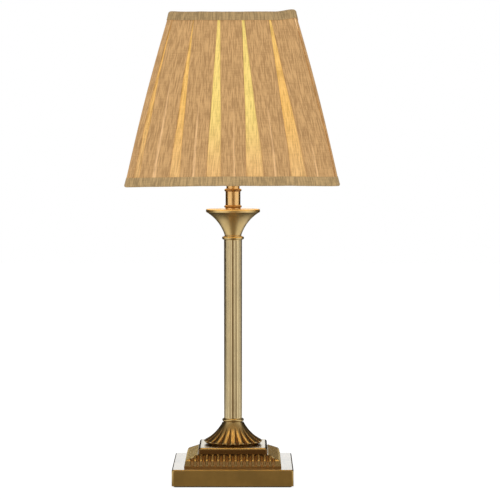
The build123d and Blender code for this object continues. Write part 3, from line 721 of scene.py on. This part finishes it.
def fluted_tube_tree():
    """A node tree that makes an upright tube with round hollows along its outside."""
    tree = bpy.data.node_groups.new("Fluted Tube", "GeometryNodeTree")
    nodes = Nodes(tree)
    add = nodes.first
    for kind, names in (
        ("Geometry", "Geometry"), ("Float", "Radius, Bore, Hollow Radius, Hollow Depth, Foot, Height"),
        ("Int", "Hollows, Steps"), ("Material", "Material"),
    ):
        for name in names.split(", "):
            tree.interface.new_socket(name, in_out="INPUT", socket_type="NodeSocket" + kind)
    tree.interface.new_socket("Geometry", in_out="OUTPUT", socket_type="NodeSocketGeometry")

    def circle(steps, radius):
        sockets = {"Resolution": steps, "Radius": radius}
        return add("GeometryNodeCurvePrimitiveCircle", {"mode": "RADIUS"}, sockets)

    def joined(*parts):
        join = nodes.node("GeometryNodeJoinGeometry")
        for part in parts:
            tree.links.new(part, join.inputs[0])
        return join.outputs[0]

    given = {socket.name: Value(nodes, socket) for socket in nodes.node("NodeGroupInput").outputs}
    count = given["Hollows"] * given["Steps"]
    index = Value(nodes, add("GeometryNodeInputIndex"))
    angle = index / count * (2 * pi) - pi / 2
    phase = (index / given["Steps"] + 0.5).math("FRACT")
    aside = (phase - 0.5) * (given["Radius"] * (2 * pi) / given["Hollows"])
    under = (given["Hollow Radius"] ** 2.0 - abs(aside) ** 2.0).math("MAXIMUM", 0.0)
    cut = (given["Hollow Radius"] - given["Hollow Depth"] - under.math("SQRT")).math("MINIMUM", 0.0)
    radius = given["Radius"] + cut
    place = add("ShaderNodeCombineXYZ", {}, {0: radius * angle.math("COSINE"), 1: radius * angle.math("SINE")})
    plain = circle(count, given["Radius"])
    fluted = add("GeometryNodeSetPosition", {}, {"Geometry": plain, "Position": place})
    section = add("GeometryNodeFillCurve", {}, {0: joined(fluted, circle(96, given["Bore"]))})
    upward = add("ShaderNodeCombineXYZ", {}, {2: given["Height"]})
    risen = add("GeometryNodeExtrudeMesh", {"mode": "FACES"},
                {"Mesh": section, "Offset": upward, "Offset Scale": 1.0, "Individual": False})
    whole = joined(risen, add("GeometryNodeFlipFaces", {}, {0: section}))
    closed = add("GeometryNodeMergeByDistance", {}, {"Geometry": whole, "Distance": 1e-6})
    foot = add("ShaderNodeCombineXYZ", {}, {2: given["Foot"]})
    lifted = add("GeometryNodeTransform", {}, {"Geometry": closed, "Translation": foot})
    real = add("GeometryNodeRealizeInstances", {}, {0: lifted})
    nodes.node("NodeGroupOutput", {}, {0: add("GeometryNodeSetMaterial", {}, {
        "Geometry": real, "Material": given["Material"],
    })})
    return tree


def fluted_tube(name, node, look, *shape):
    """A tube as high as a node, as a plain mesh; shape is the tube's radius and bore, its hollows' radius and
    depth, how many there are and the steps round each."""
    tree = bpy.data.node_groups.get("Fluted Tube") or fluted_tube_tree()
    low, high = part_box(node)
    piece = mesh_object(name, [(0, 0, 0)], [])
    modifier = piece.modifiers.new("Make", "NODES")
    modifier.node_group = tree
    inputs = [item.identifier for item in tree.interface.items_tree if item.in_out == "INPUT"][1:]
    for identifier, value in zip(inputs, (*shape[:4], low.z, high.z - low.z, *shape[4:], look)):
        modifier[identifier] = value
    settle(piece)
    piece.data.shade_smooth()
    piece.data.set_sharp_from_angle(angle=radians(75))
    return piece


class LAMP_OT_column(bpy.types.Operator):
    """Make the fluted column and the beaded rings at its ends"""

    bl_idname = "lamp.column"
    bl_label = "Column and rings"

    def execute(self, context):
        sizes, brass = context.scene.lamp_column, context.scene.lamp_brass
        low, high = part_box("fluted_column")
        radius = high.x + 0.0002

        def proud(look):
            """1 on the ridges and 0 in the flutes, from the distance to the axis."""
            x, y, _ = look.axes(look.place())
            return 1 - ((radius - (x * x + y * y) ** 0.5) / sizes.flute_depth) ** 4 * 0.7

        look = brass_look("column_brass", brass.column, relief_and_painted_shade=proud, lines=(2500, 2500, 8))
        column = fluted_tube("column", "fluted_column", look, radius, sizes.bore, sizes.flute_radius,
                             sizes.flute_depth, sizes.flutes, 12)
        fit(column, "stand", "brass_body", look, "fluted_column")
        rings = brass_look("ring_brass", brass.polish)
        for name, node, foot, head in (
            ("ring_below_column", "lower_ring", floor_of("lower_ring"), low.z),
            ("ring_above_column", "upper_ring", high.z, floor_of("trumpet_collar")),
        ):
            bead = turned(name, bead_outline(ROD, 0.0093, reach_of(node) + 0.0003, foot, head - foot))
            fit(bead, "stand", "brass_body", rings, node)
        return {"FINISHED"}


class LAMP_OT_trumpet(bpy.types.Operator):
    """Make the trumpet collar, its disc and the neck sleeve above it"""

    bl_idname = "lamp.trumpet"
    bl_label = "Trumpet and neck"

    def execute(self, context):
        brass = context.scene.lamp_brass
        look = brass_look("trumpet_brass", scaled(brass.polish, 1.18), 0.1)
        fit(self.collar(), "stand", "brass_body", look, "trumpet_collar")
        keep(look, "trumpet_disc")
        # The neck's warm colour is partly painted warm light from the bulb above.
        warm = brass_look("neck_brass", brass.holder, -0.04, relief_and_painted_shade=True)
        fit(self.neck(), "stand", "brass_holder", warm, "neck_sleeve")
        return {"FINISHED"}

    def collar(self):
        low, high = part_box("trumpet_collar")
        lip, rim_low = high.x, high.z - 0.0036
        seat, ledge = lip - 0.0017, lip - 0.0031
        flare = bowed((0.0083, low.z), (lip - 0.0009, rim_low), 0.0028, 40)
        edge = rounded([
            (lip - 0.0009, rim_low, 0), (lip, rim_low + 0.0005, 0.0003), (lip, high.z, 0.0012),
            (seat, high.z, 0.0003), (seat, high.z - 0.0016, 0), (ledge, high.z - 0.0016, 0),
        ], 6)[1:]
        inside = bowed((ledge, high.z - 0.0029), (0.007, low.z + 0.004), -0.0026, 24)
        return turned("trumpet", [(ROD, low.z), *flare, *edge, *inside, (ROD, low.z + 0.004)], 160)

    def neck(self):
        low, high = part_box("neck_sleeve")
        plain, bead = 0.0076, 0.0029
        below, above = low.z + 0.001, high.z - bead
        outline = [
            (ROD, low.z), (plain, low.z),
            *bowed((plain, below), (plain, below + bead), plain - 0.0089, 12),
            *bowed((plain, above), (plain, high.z), plain - 0.00875, 12), (ROD, high.z),
        ]
        piece = turned("neck", outline)
        # The beads get 0.42, so they take some of the brown: painted shade on the beads.
        ring_relief_and_painted_shade(piece, [1.0 if r <= plain + 1e-6 else 0.42 for r, _ in outline])
        return piece


class LAMP_OT_holder(bpy.types.Operator):
    """Finish the lampholder, its insert, sprung contacts and push bar, and make the clamping ring"""

    bl_idname = "lamp.holder"
    bl_label = "Lampholder"

    def execute(self, context):
        sizes = context.scene.lamp_column
        # This warm brass is partly painted warm light from the bulb.
        look = brass_look("holder_brass", context.scene.lamp_brass.holder, -0.04)
        keep(look, "holder_cap", "holder_skirt")
        moulding = plain_look("insert_moulding", (0.05, 0.036, 0.028), 0.0, 0.4, 700.0)
        keep(moulding, "holder_insert", "switch_bar")
        keep(plain_look("contact_brass", (0.7, 0.56, 0.3), 1.0, 0.3, 600.0), "contact_plungers")
        self.springs(plain_look("spring_steel", (0.55, 0.55, 0.55), 1.0, 0.3, 600.0))
        bore = 0.0143
        ring = fluted_tube("clamping_ring", "shade_ring", look, reach_of("shade_ring"), bore,
                           sizes.grip_radius, sizes.grip_depth, sizes.grips, 14)
        bevel = ring.modifiers.new("Edges", "BEVEL")
        bevel.width, bevel.segments, bevel.limit_method, bevel.angle_limit = 0.0004, 2, "ANGLE", radians(75)
        settle(ring)
        fit(ring, "clamp_ring", "brass_holder", look, "shade_ring")
        return {"FINISHED"}

    def springs(self, look):
        """Two coiled springs under the plungers, made at their rest length; the real springs close up as the
        plungers go down.
        """
        low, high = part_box("contact_springs")
        radius, wire = high.x, 0.00025
        for name, away in (("front_spring", low.y + radius), ("back_spring", high.y - radius)):
            spring = self.coil(name, away, radius - wire, wire, low.z + wire, high.z - wire)
            fit(spring, "stand", "spring_steel", look, "contact_springs")
            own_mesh(spring)

    def coil(self, name, away, radius, wire, foot, head, turns=6, steps=24, around=8):
        """A wire wound into a coil, flat at both ends."""
        count = turns * steps + 1
        points = []
        for step in range(count):
            rise = min(max((step / steps - 0.8) / (turns - 1.6), 0.0), 1.0)
            for tilt in 2 * pi * np.arange(around) / around:
                x, y = spun(radius + wire * cos(tilt), 0, 2 * pi * step / steps)
                points.append((x, away + y, foot + (head - foot) * rise - wire * sin(tilt)))
        return mesh_object(name, points, grid_faces(count, around) + cap_faces(count, around))


class LAMP_OT_bulb(bpy.types.Operator):
    """Finish the lit bulb: glass, cap, pins, contacts, stem and filament"""

    bl_idname = "lamp.bulb"
    bl_label = "Bulb"

    def execute(self, context):
        glow = {"emission_color": (1.0, 0.74, 0.4), "emission_strength": 1.0}
        bright = {"emission_color": (1.0, 0.7, 0.35), "emission_strength": 3.0}
        clear = {"transmission_weight": 1.0, "ior": 1.5}
        for part, finish, more in (
            ("glass", ("pearl_glass", (0.3, 0.27, 0.22), 0.0, 0.35, 90.0, 0.05), glow),
            ("cap", ("bulb_cap_metal", (0.72, 0.7, 0.64), 1.0, 0.32), {}),
            ("pins", ("pin_brass", (0.7, 0.56, 0.3), 1.0, 0.3, 600.0), {}),
            ("contacts", ("solder", (0.6, 0.6, 0.58), 1.0, 0.45, 500.0, 0.3, 0.0001), {}),
            ("insulator", ("black_glass", (0.012, 0.012, 0.012), 0.0, 0.15), {}),
            ("stem", ("stem_glass", (0.9, 0.93, 0.92), 0.0, 0.08, 200.0, 0.03), clear),
            ("filament", ("filament", (0.35, 0.33, 0.3), 1.0, 0.4, 900.0), bright),
        ):
            keep(plain_look(*finish, **more), "bulb_" + part)
        return {"FINISHED"}


# ---- Shade ----

def half_at(z):
    """Half the shade's side over its trim at a height; the upper trim's box is widest at its lower edge."""
    low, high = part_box("bottom_trim"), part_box("top_trim")
    taper = (low[1].x - high[1].x) / (high[0].z - low[0].z)
    return low[1].x - taper * (z - low[0].z)


def round_square(p, half, inset, corner):
    """Where a place p round a square of a half side lies, once it is moved in and its corners are rounded."""
    side = np.floor(p / (2 * half)).astype(int)
    reach = half - inset
    t = (p - 2 * half * side - half) * reach / half
    over = np.clip((np.abs(t) - (reach - corner)) / corner, 0, 1)
    turn = over * pi / 4
    x = np.where(over > 0, np.sign(t) * (reach - corner + corner * np.sin(turn)), t)
    y = -np.where(over > 0, reach - corner + corner * np.cos(turn), reach)
    return spun(x, y, side * pi / 2)


def row_of(*columns):
    """A row of points from what is told of each of them; a number is the same for all."""
    return np.stack(np.broadcast_arrays(*columns))


def cloth_object(name, rows, faces, sharp=None, marks=()):
    """Cloth from rows that tell each point's x, y and z, its places along and up the cloth, and its marks."""
    x, y, z, along, up, *values = np.concatenate(rows, axis=1)
    piece = mesh_object(name, np.stack([x, y, z], axis=1), faces, sharp)
    for mark, value in zip(marks, values):
        float_attribute(piece, mark, value)
    surface_map(piece, along, up)
    return piece


def thicken(piece, thickness, offset):
    cloth = piece.modifiers.new("Cloth", "SOLIDIFY")
    cloth.thickness, cloth.offset = thickness, offset
    settle(piece)


def bulb_height():
    return (floor_of("bulb_glass") + top_of("bulb_glass")) / 2


def slant_of(node):
    """A shade cloth's height along its slope."""
    low, high = floor_of(node), top_of(node)
    return round(hypot(high - low, half_at(low) - half_at(high)), 3)


def cloth_look(name, base, glow=None, weave=1900.0, slub=800.0, depth=0.00006):
    """Woven cloth seen by the light that falls on it, and by what comes through it."""
    look = Look(name)
    across, up, _ = look.axes(look.place((weave, weave, 1), True))
    threads = across.math("SINE") * up.math("SINE")
    warp = look.noise(look.place((slub, slub * 0.09, 1), True), 1.0, 3.0, 0.65)
    weft = look.noise(look.place((slub * 0.1, slub, 1), True), 1.0, 3.0, 0.65)
    cloudy = look.noise(look.place((140, 50, 1), True), 1.0, 2.0)
    tone = warp * 0.8 + weft * 0.2
    shaded = look.mix((tone * 0.85 + cloudy * 0.15).step(0.4, 0.6), scaled(base, 0.7), scaled(base, 1.26))
    sockets = {"emission_color": glow(look, tone, cloudy), "emission_strength": 1.0} if glow else {}
    return look.finish(base_color=shaded, roughness=0.86 + tone * 0.1, sheen_weight=0.12,
                       specular_ior_level=0.2, normal=look.bump(threads * 0.4 + tone, depth, 0.7), **sockets)


class LAMP_OT_cover(bpy.types.Operator):
    """Fold one strip of cloth into box pleats round the shade, three layers thick at each pleat"""

    bl_idname = "lamp.cover"
    bl_label = "Pleated cover"

    # The front's pleats as in the photograph, in mm: their middles along the lower and the upper edge
    # from a corner, their widths there, where their slits close as a share of the height, half of each
    # slit's width at the foot, and how far right of its pleat's middle each slit runs.
    front_feet = (28.0, 66.1, 107.1, 150.8, 194.6, 221.5)
    front_heads = (15.4, 38.2, 63.2, 88.5, 115.0, 140.5)
    foot_widths = (29.2, 25.5, 24.4, 25.7, 27.4, 23.8)
    head_widths = (20.8, 24.0, 21.7, 24.6, 24.6, 24.4)
    front_slits = (0.68, 0.52, 0.55, 0.6, 0.3, 0.1)
    slit_widths = (1.6, 1.5, 1.0, 1.1, 1.1, 0.6)
    slit_asides = (0.0, 0.7, 0.6, -2.4, -4.4, 0.0)
    corner_foot, corner_head = -6.0, -7.3                     # the pleat that wraps the front's left corner

    def execute(self, context):
        sizes = context.scene.lamp_shade
        cover = self.strip(sizes)
        # The pleated cloth is the trim's cloth at 0.9 of its colour: painted shade on the folded cover.
        look = cloth_look("pleated_cloth", scaled(sizes.trim, 0.9), lambda *given: self.glow(*given, sizes))
        thicken(cover, sizes.cloth, 0.0)
        fit(cover, "shade", "pleated_cloth", look, "shade_cover")
        slant_of("shade_cover")
        return {"FINISHED"}

    def centres(self, given, corner, z, count):
        """Every pleat's centre round one edge: the corner's, the front's, then the rest evenly spaced."""
        placed = [corner, *given]
        left = count - len(placed)
        step = (8 * half_at(z) / MM + corner - given[-1]) / (left + 1)
        return np.array(placed + [given[-1] + step * (place + 1) for place in range(left)]) * MM

    def strip(self, sizes):
        under_trim, stray, steps_up = 0.0024, 0.00025, 34
        z_low, z_high = floor_of("shade_cover"), top_of("shade_cover") - under_trim
        feet = self.centres(self.front_feet, self.corner_foot, z_low, sizes.pleats)
        heads = self.centres(self.front_heads, self.corner_head, z_high, sizes.pleats)
        rng = np.random.default_rng(7)
        strays = rng.normal(0, stray, (sizes.pleats, 4))

        def all_round(others, given, unit=MM):
            """A value for each pleat, of which the front's are given."""
            values = np.zeros(sizes.pleats) + others
            values[1:1 + len(given)] = np.multiply(given, unit)
            return values

        slits = all_round(rng.uniform(0.3, 0.7, sizes.pleats), self.front_slits, 1)
        low_widths = all_round(sizes.pleat_width, self.foot_widths)
        high_widths = all_round(sizes.pleat_width, self.head_widths)
        slit_feet = all_round(0.0009, self.slit_widths)
        asides = all_round(0.0, self.slit_asides)
        rows = []
        self.cut_width = 0.0
        for z in np.linspace(z_low, z_high, steps_up):
            v = (z - z_low) / (z_high - z_low)
            flat = half_at(z)
            half = flat + sizes.belly * (sin(pi * v) - v ** 3)
            middles = feet + (heads - feet) * v
            for wave in range(4):
                middles = middles + strays[:, wave] * np.sin((wave + 1) * pi * v + wave)
            widths = low_widths + (high_widths - low_widths) * v
            slit = slit_feet * np.clip(1 - v / slits, 0.02, 1) ** 0.6
            p, inset, along, *marks = self.section(middles, widths, slit, asides * (1 - v), 8 * flat)
            x, y = round_square((p - flat) * half / flat + half, half, inset, sizes.corner - 0.0007)
            rows.append(row_of(x, y, z, along, z, *marks))
            self.cut_width = max(self.cut_width, np.hypot(np.diff(x), np.diff(y)).sum())
        return cloth_object("pleats", rows, grid_faces(len(rows), len(p)), marks=("across", "layers", "slit"))

    def section(self, middles, widths, slits, asides, around):
        """The folded strip at one height: each point's place round the shade, how far in it lies, its place
        along the cloth, how far across its gap or pleat it is, 1 if it's a pleat's, and its slit's share."""
        front, middle, back, tuck = 0.00068, 0.00103, 0.0014, 0.0002
        rows = []

        def run(start, end, count, level, pleat=1.0, bulge=0.0, across=(0.0, 0.0), wide=0.0):
            step = np.arange(count) / count
            p = start + (end - start) * step
            rows.append(row_of(p, level - bulge * np.sin(pi * step), p + shift,
                               across[0] + (across[1] - across[0]) * step, pleat, wide))

        def fold(at, way, start, end):
            turn = (np.arange(3) + 0.5) / 3 * pi
            p = at + way * abs(end - start) / 2 * np.sin(turn)
            inset = (start + end) / 2 + (start - end) / 2 * np.cos(turn)
            rows.append(row_of(p, inset, p + shift, way, 1.0, 0.0))

        lefts, rights = middles - widths / 2, middles + widths / 2
        lefts = np.maximum(lefts, np.append(rights[-1] - around, rights[:-1]) + 0.0005)
        afters = np.append(lefts[1:], lefts[0] + around)
        for index, (left, right, after, slit) in enumerate(zip(lefts, rights, afters, slits)):
            centre = middles[index] + asides[index]
            shift = 0.1 * index - centre
            aside = (2 * centre - left - right) / (right - left)
            slit_share = 2 * slit / (right - left)
            run(left, centre - slit, 3, back)
            fold(centre - slit, 1, back, middle)
            run(centre - slit, left + tuck, 3, middle)
            fold(left + tuck, -1, middle, front)
            run(left + tuck, right - tuck, 14, front, 1.0, 0.00018, (-1 - aside, 1 - aside), slit_share)
            fold(right - tuck, 1, front, middle)
            run(right - tuck, centre + slit, 3, middle)
            fold(centre + slit, -1, middle, back)
            run(centre + slit, right, 3, back)
            run(right, after, 9, back, 0.0, 0.00012, (-1, 1))
        return np.concatenate(rows, axis=1)

    def glow(self, look, tone, cloudy, sizes):
        """The bulb's light through the cloth: bright through one layer, dim through three."""
        x, y, z = look.axes(look.place())
        across, slit = abs(look.attribute("across")), look.attribute("slit")
        beside = abs(x).math("MINIMUM", abs(y))
        near = look.mix(beside.step(0.02, 0.05), sizes.gap_glow, sizes.side_glow)
        one_layer = look.mix((bulb_height() - z).step(0.0, 0.075), near, sizes.low_glow)
        # Dimmer at the gaps' edges, which is painted shade along the folds, and dimmer towards the shade's
        # corners.
        bright = across.step(0.9, 1.0, 1.0, 0.4) * (0.2 + tone * 1.6) * beside.step(0.055, 0.085, 1.0, 0.72)
        lit_gap = look.mix(bright, (0.05, 0.0, 0.0), one_layer)
        in_slit = (across - slit).step(-0.05, 0.03, 1.0, 0.0) * slit.step(0.012, 0.06)
        through = look.mix(in_slit, sizes.pleat_glow, sizes.slit_glow)
        pleat_lit = look.mix(0.55 + tone * 0.5 + cloudy * 0.2, (0, 0, 0), through)
        return look.mix(look.attribute("layers"), lit_gap, pleat_lit)


class LAMP_OT_lining(bpy.types.Operator):
    """Stretch the lining between the wires inside the shade"""

    bl_idname = "lamp.lining"
    bl_label = "Lining"

    def execute(self, context):
        sizes = context.scene.lamp_shade
        low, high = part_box("shade_lining")
        inset, around, pucker_depth, pucker_reach = 0.00245, 480, 0.00018, 0.03
        puckers = np.random.default_rng(11).normal(0, 1, around)
        puckers = np.convolve(np.concatenate([puckers[-4:], puckers, puckers[:4]]), np.ones(9) / 9, "valid")
        rows = []
        for z in np.linspace(low.z, high.z, 24):
            pucker = pucker_depth * puckers * max(0.0, 1 - min(z - low.z, high.z - z) / pucker_reach)
            along = np.arange(around) / around * 8 * half_at(z)
            x, y = round_square(along, half_at(z), inset + np.abs(pucker), sizes.corner - inset)
            rows.append(row_of(x, y, z, along, z))
        lining = cloth_object("lining", rows, grid_faces(len(rows), around))
        thicken(lining, 0.0002, -1.0)
        look = cloth_look("lining_cloth", sizes.lining, lambda look, *_: self.glow(look, sizes), 2400.0)
        fit(lining, "shade", "lining_cloth", look, "shade_lining")
        slant_of("shade_lining")
        return {"FINISHED"}

    def glow(self, look, sizes):
        z = look.axes(look.place())[2]
        return look.mix(abs(z - bulb_height()).step(0.0, 0.1, 1.0, 0.7), (0, 0, 0), sizes.lining_glow)


class LAMP_OT_trims(bpy.types.Operator):
    """Fold the two trims over the shade's edges"""

    bl_idname = "lamp.trims"
    bl_label = "Trims"

    def execute(self, context):
        sizes = context.scene.lamp_shade
        for name, node, height, up, look, tint in (
            ("lower_trim", "bottom_trim", sizes.low_trim, 1, "trim_cloth", 1.0),
            # The upper trim is the same cloth at 0.9 of its colour: painted shade.
            ("upper_trim", "top_trim", sizes.high_trim, -1, "top_trim_cloth", 0.9),
        ):
            look = cloth_look(look, scaled(sizes.trim, tint), None, 2300.0, 900.0)
            edge = floor_of(node) if up == 1 else top_of(node)
            trim, width = self.band(name, edge, height, up, sizes)
            fit(trim, "shade", "trim_cloth", look, node)
        return {"FINISHED"}

    def band(self, name, edge, height, up, sizes):
        """A strip folded over an edge: an outer leg, the fold round the wire and a short inner leg."""
        half_t, bend, inner, around = 0.00025, 0.0017, 0.0057, 4 * 72
        inner_leg, step = 0.0048, 0.0011
        legs = [
            (half_t + 0.0001, height, 0), (half_t, half_t, bend), (inner, half_t, bend), (inner, inner_leg, 0),
        ]
        route = evenly(rounded(legs, 6), step)
        aside = facing(route) * half_t
        loop = np.concatenate([route - aside, (route + aside)[::-1]])
        lengths = np.linalg.norm(np.diff(loop, axis=0), axis=1)
        share_round = np.arange(around) / around
        ripple = np.random.default_rng(23 if up == 1 else 29).normal(0, 1, around + 12)
        ripple = np.convolve(ripple, np.ones(13) / 13, "valid")
        rows = []
        for (inset, rise), far in zip(loop, [0, *np.cumsum(lengths)]):
            z = edge + up * rise + self.bow(share_round, up) + ripple * 0.0003
            z = np.clip(z, floor_of("bottom_trim") - 0.0016, top_of("top_trim") + 0.0026)
            half = half_at(z) + (0 if up == 1 else -sizes.belly * 0.8)
            x, y = round_square(share_round * 8 * half, half, inset + ripple * 0.0001 - 0.0001,
                                max(sizes.corner - inset, 0.0012))
            rows.append(row_of(x, y, z, share_round * 8 * half_at(edge), far))
        faces = grid_faces(len(rows), around, closed=True)
        if up == 1:
            faces = [tuple(reversed(face)) for face in faces]
        width = np.linalg.norm(np.diff(route, axis=0), axis=1).sum()
        return cloth_object(name, rows, faces, 60), width

    def bow(self, share_round, up):
        """The edges aren't dead level: the upper one stands up at its corners, a lower corner hangs."""
        sag, left_rise, right_rise, reach = 0.0014, 0.0005, 0.0023, 0.022
        near = np.minimum(share_round, 1 - share_round)
        if up == 1:
            return -sag * np.clip(1 - near * 4 / 0.55, 0, 1) ** 1.5
        return (0.0002 + left_rise * np.exp(-(near / reach) ** 2)
                + right_rise * np.exp(-((share_round - 0.25) / reach) ** 2))


class LAMP_OT_wires(bpy.types.Operator):
    """Finish the shade's wire frame: its loops, struts, arms and fitter ring"""

    bl_idname = "lamp.wires"
    bl_label = "Wire frame"

    def execute(self, context):
        look = plain_look("coated_wire", (0.8, 0.78, 0.72), 0.0, 0.35, 500.0, 0.08, coat_weight=0.4)
        for node in ("bottom_wire_frame", "top_wire_frame", "corner_struts", "fitter_arms", "fitter_ring"):
            keep(look, node)
        return {"FINISHED"}


# ---- Stage ----

class LAMP_OT_stage(bpy.types.Operator):
    """Set the floor, the studio's light and the camera"""

    bl_idname = "lamp.stage"
    bl_label = "Stage"

    def execute(self, context):
        sizes = context.scene.lamp_stage
        self.floor(sizes)
        self.world(context.scene)
        self.lights()
        self.camera(context.scene, sizes)
        context.scene.view_settings.view_transform = "Standard"
        return {"FINISHED"}

    def floor(self, sizes):
        reach, down = 4.0, -0.0002
        corners = [(-reach, -reach, down), (reach, -reach, down), (reach, reach, down), (-reach, reach, down)]
        floor = mesh_object("floor", corners, [(0, 1, 2, 3)])
        look = Look("pale_floor")
        ray = look.node("ShaderNodeLightPath").outputs
        x, y, _ = look.axes(look.place())
        away = (x * x + y * y) ** 0.5
        beside = (abs(x) - 0.08).math("MAXIMUM", 0) * x.math("SIGN")
        sides = look.mix(away.step(0.4, 0.8), (1.02, 1.0, 0.95), BRIGHT_SIDES)
        mirrored = self.surroundings(look, beside, y * -1, sides, DARK_FLAT, away.step(0.5, 0.8, 150, 90))
        lit = look.first("ShaderNodeBsdfDiffuse", {}, {"Color": sizes.floor})
        for_eye = look.blend(Value(look, ray["Is Camera Ray"]) * 0.8, lit, look.shine((1, 1, 1), 1.12))
        both = look.blend(ray["Is Glossy Ray"], for_eye, look.shine(mirrored))
        look.node("ShaderNodeOutputMaterial", {}, {"Surface": both})
        paint(floor, look.material)

    def surroundings(self, look, right, toward, sides, back, edge):
        """What metal mirrors: dim on the camera's side, bright beside it, then the back from an edge on."""
        turn = abs(right.math("ARCTAN2", toward) * degrees(1) - 6)
        return look.mix((turn - edge).step(-6, 6), look.mix(turn.step(14, 32), WARM_FRONT, sides), back)

    def world(self, scene):
        """A white studio; metal mirrors dark flats behind the lamp up to the floor's edge."""
        scene.world = bpy.data.worlds.new("studio")
        look = Look(scene.world)
        x, y, z = look.axes(look.node("ShaderNodeTexCoord").outputs["Generated"])
        aside = abs(x.math("ARCTAN2", y) * degrees(1) + 0.5)
        back = look.mix(aside.step(4.0, 5.6), (1.13, 1.19, 1.26), DARK_FLAT)
        around = self.surroundings(look, x, y * -1, BRIGHT_SIDES, back, 91)
        overhead = look.mix(y.step(0.25, 0.5), WARM_TOP, (0.07, 0.058, 0.04))
        mirrored = look.mix(z.step(0.5, 0.75), around, overhead)
        ray = look.node("ShaderNodeLightPath").outputs
        soft = look.first("ShaderNodeCombineXYZ", {}, dict.fromkeys(range(3), 0.66 + z * 0.1))
        unseen = look.mix(ray["Is Glossy Ray"], soft, mirrored)
        straight = Value(look, ray["Is Camera Ray"]).math("MAXIMUM", ray["Is Transmission Ray"])
        tone = look.mix(straight, unseen, (1.0, 1.0, 1.0))
        look.node("ShaderNodeOutputWorld", {}, {"Surface": look.shine(tone, kind="Background")})

    def lights(self):
        for name, place, size, power in (
            ("key", (-1.3, -1.5, 1.3), 1.4, 13.0), ("fill", (1.5, -1.3, 0.8), 1.6, 8.0),
            ("back", (0.3, 1.6, 1.5), 1.4, 8.0),
        ):
            lamp = bpy.data.lights.new(name, "AREA")
            lamp.size, lamp.energy = size, power
            holder = bpy.data.objects.new(name, lamp)
            holder.location = place
            aim = holder.location * -1
            aim.z += 0.25
            holder.rotation_euler = aim.to_track_quat("-Z", "Y").to_euler()
            holder.visible_glossy = False
            bpy.context.scene.collection.objects.link(holder)

    def camera(self, scene, sizes):
        data = bpy.data.cameras.new("camera")
        data.lens, data.sensor_width = sizes.lens, 36.0
        camera = bpy.data.objects.new("camera", data)
        camera.location = (sizes.camera_x, -sizes.camera_away, sizes.camera_z)
        camera.rotation_euler = (pi / 2 - sizes.camera_pitch, 0, 0)
        scene.collection.objects.link(camera)
        scene.camera = camera


class LAMP_PT_pieces(bpy.types.Panel):
    """Buttons for each piece of the lamp"""

    bl_label = "Column Lamp"
    bl_idname = "LAMP_PT_pieces"
    bl_space_type = "VIEW_3D"
    bl_region_type = "UI"
    bl_category = "Lamp"

    def draw(self, context):
        for operator in OPERATORS:
            self.layout.operator(operator.bl_idname)
        for name in SETTINGS:
            box = self.layout.box()
            settings = getattr(context.scene, name)
            for key in settings.bl_rna.properties.keys():
                if key not in {"rna_type", "name"}:
                    box.prop(settings, key)


SETTINGS = {
    "lamp_brass": BrassSettings, "lamp_plinth": PlinthSettings, "lamp_boss": BossSettings,
    "lamp_column": ColumnSettings, "lamp_shade": ShadeSettings, "lamp_stage": StageSettings,
}
OPERATORS = (
    LAMP_OT_base, LAMP_OT_plinth, LAMP_OT_boss, LAMP_OT_column, LAMP_OT_trumpet, LAMP_OT_holder, LAMP_OT_bulb,
    LAMP_OT_wires, LAMP_OT_lining, LAMP_OT_cover, LAMP_OT_trims, LAMP_OT_stage,
)


def register():
    for made in (*SETTINGS.values(), *OPERATORS, LAMP_PT_pieces):
        bpy.utils.register_class(made)
    for name, settings in SETTINGS.items():
        setattr(bpy.types.Scene, name, PointerProperty(type=settings))


def unregister():
    for name in SETTINGS:
        delattr(bpy.types.Scene, name)
    for made in reversed((*SETTINGS.values(), *OPERATORS, LAMP_PT_pieces)):
        bpy.utils.unregister_class(made)


def main():
    register()
    for operator in OPERATORS:
        category, name = operator.bl_idname.split(".")
        getattr(getattr(bpy.ops, category), name)()


if __name__ == "__main__":
    main()
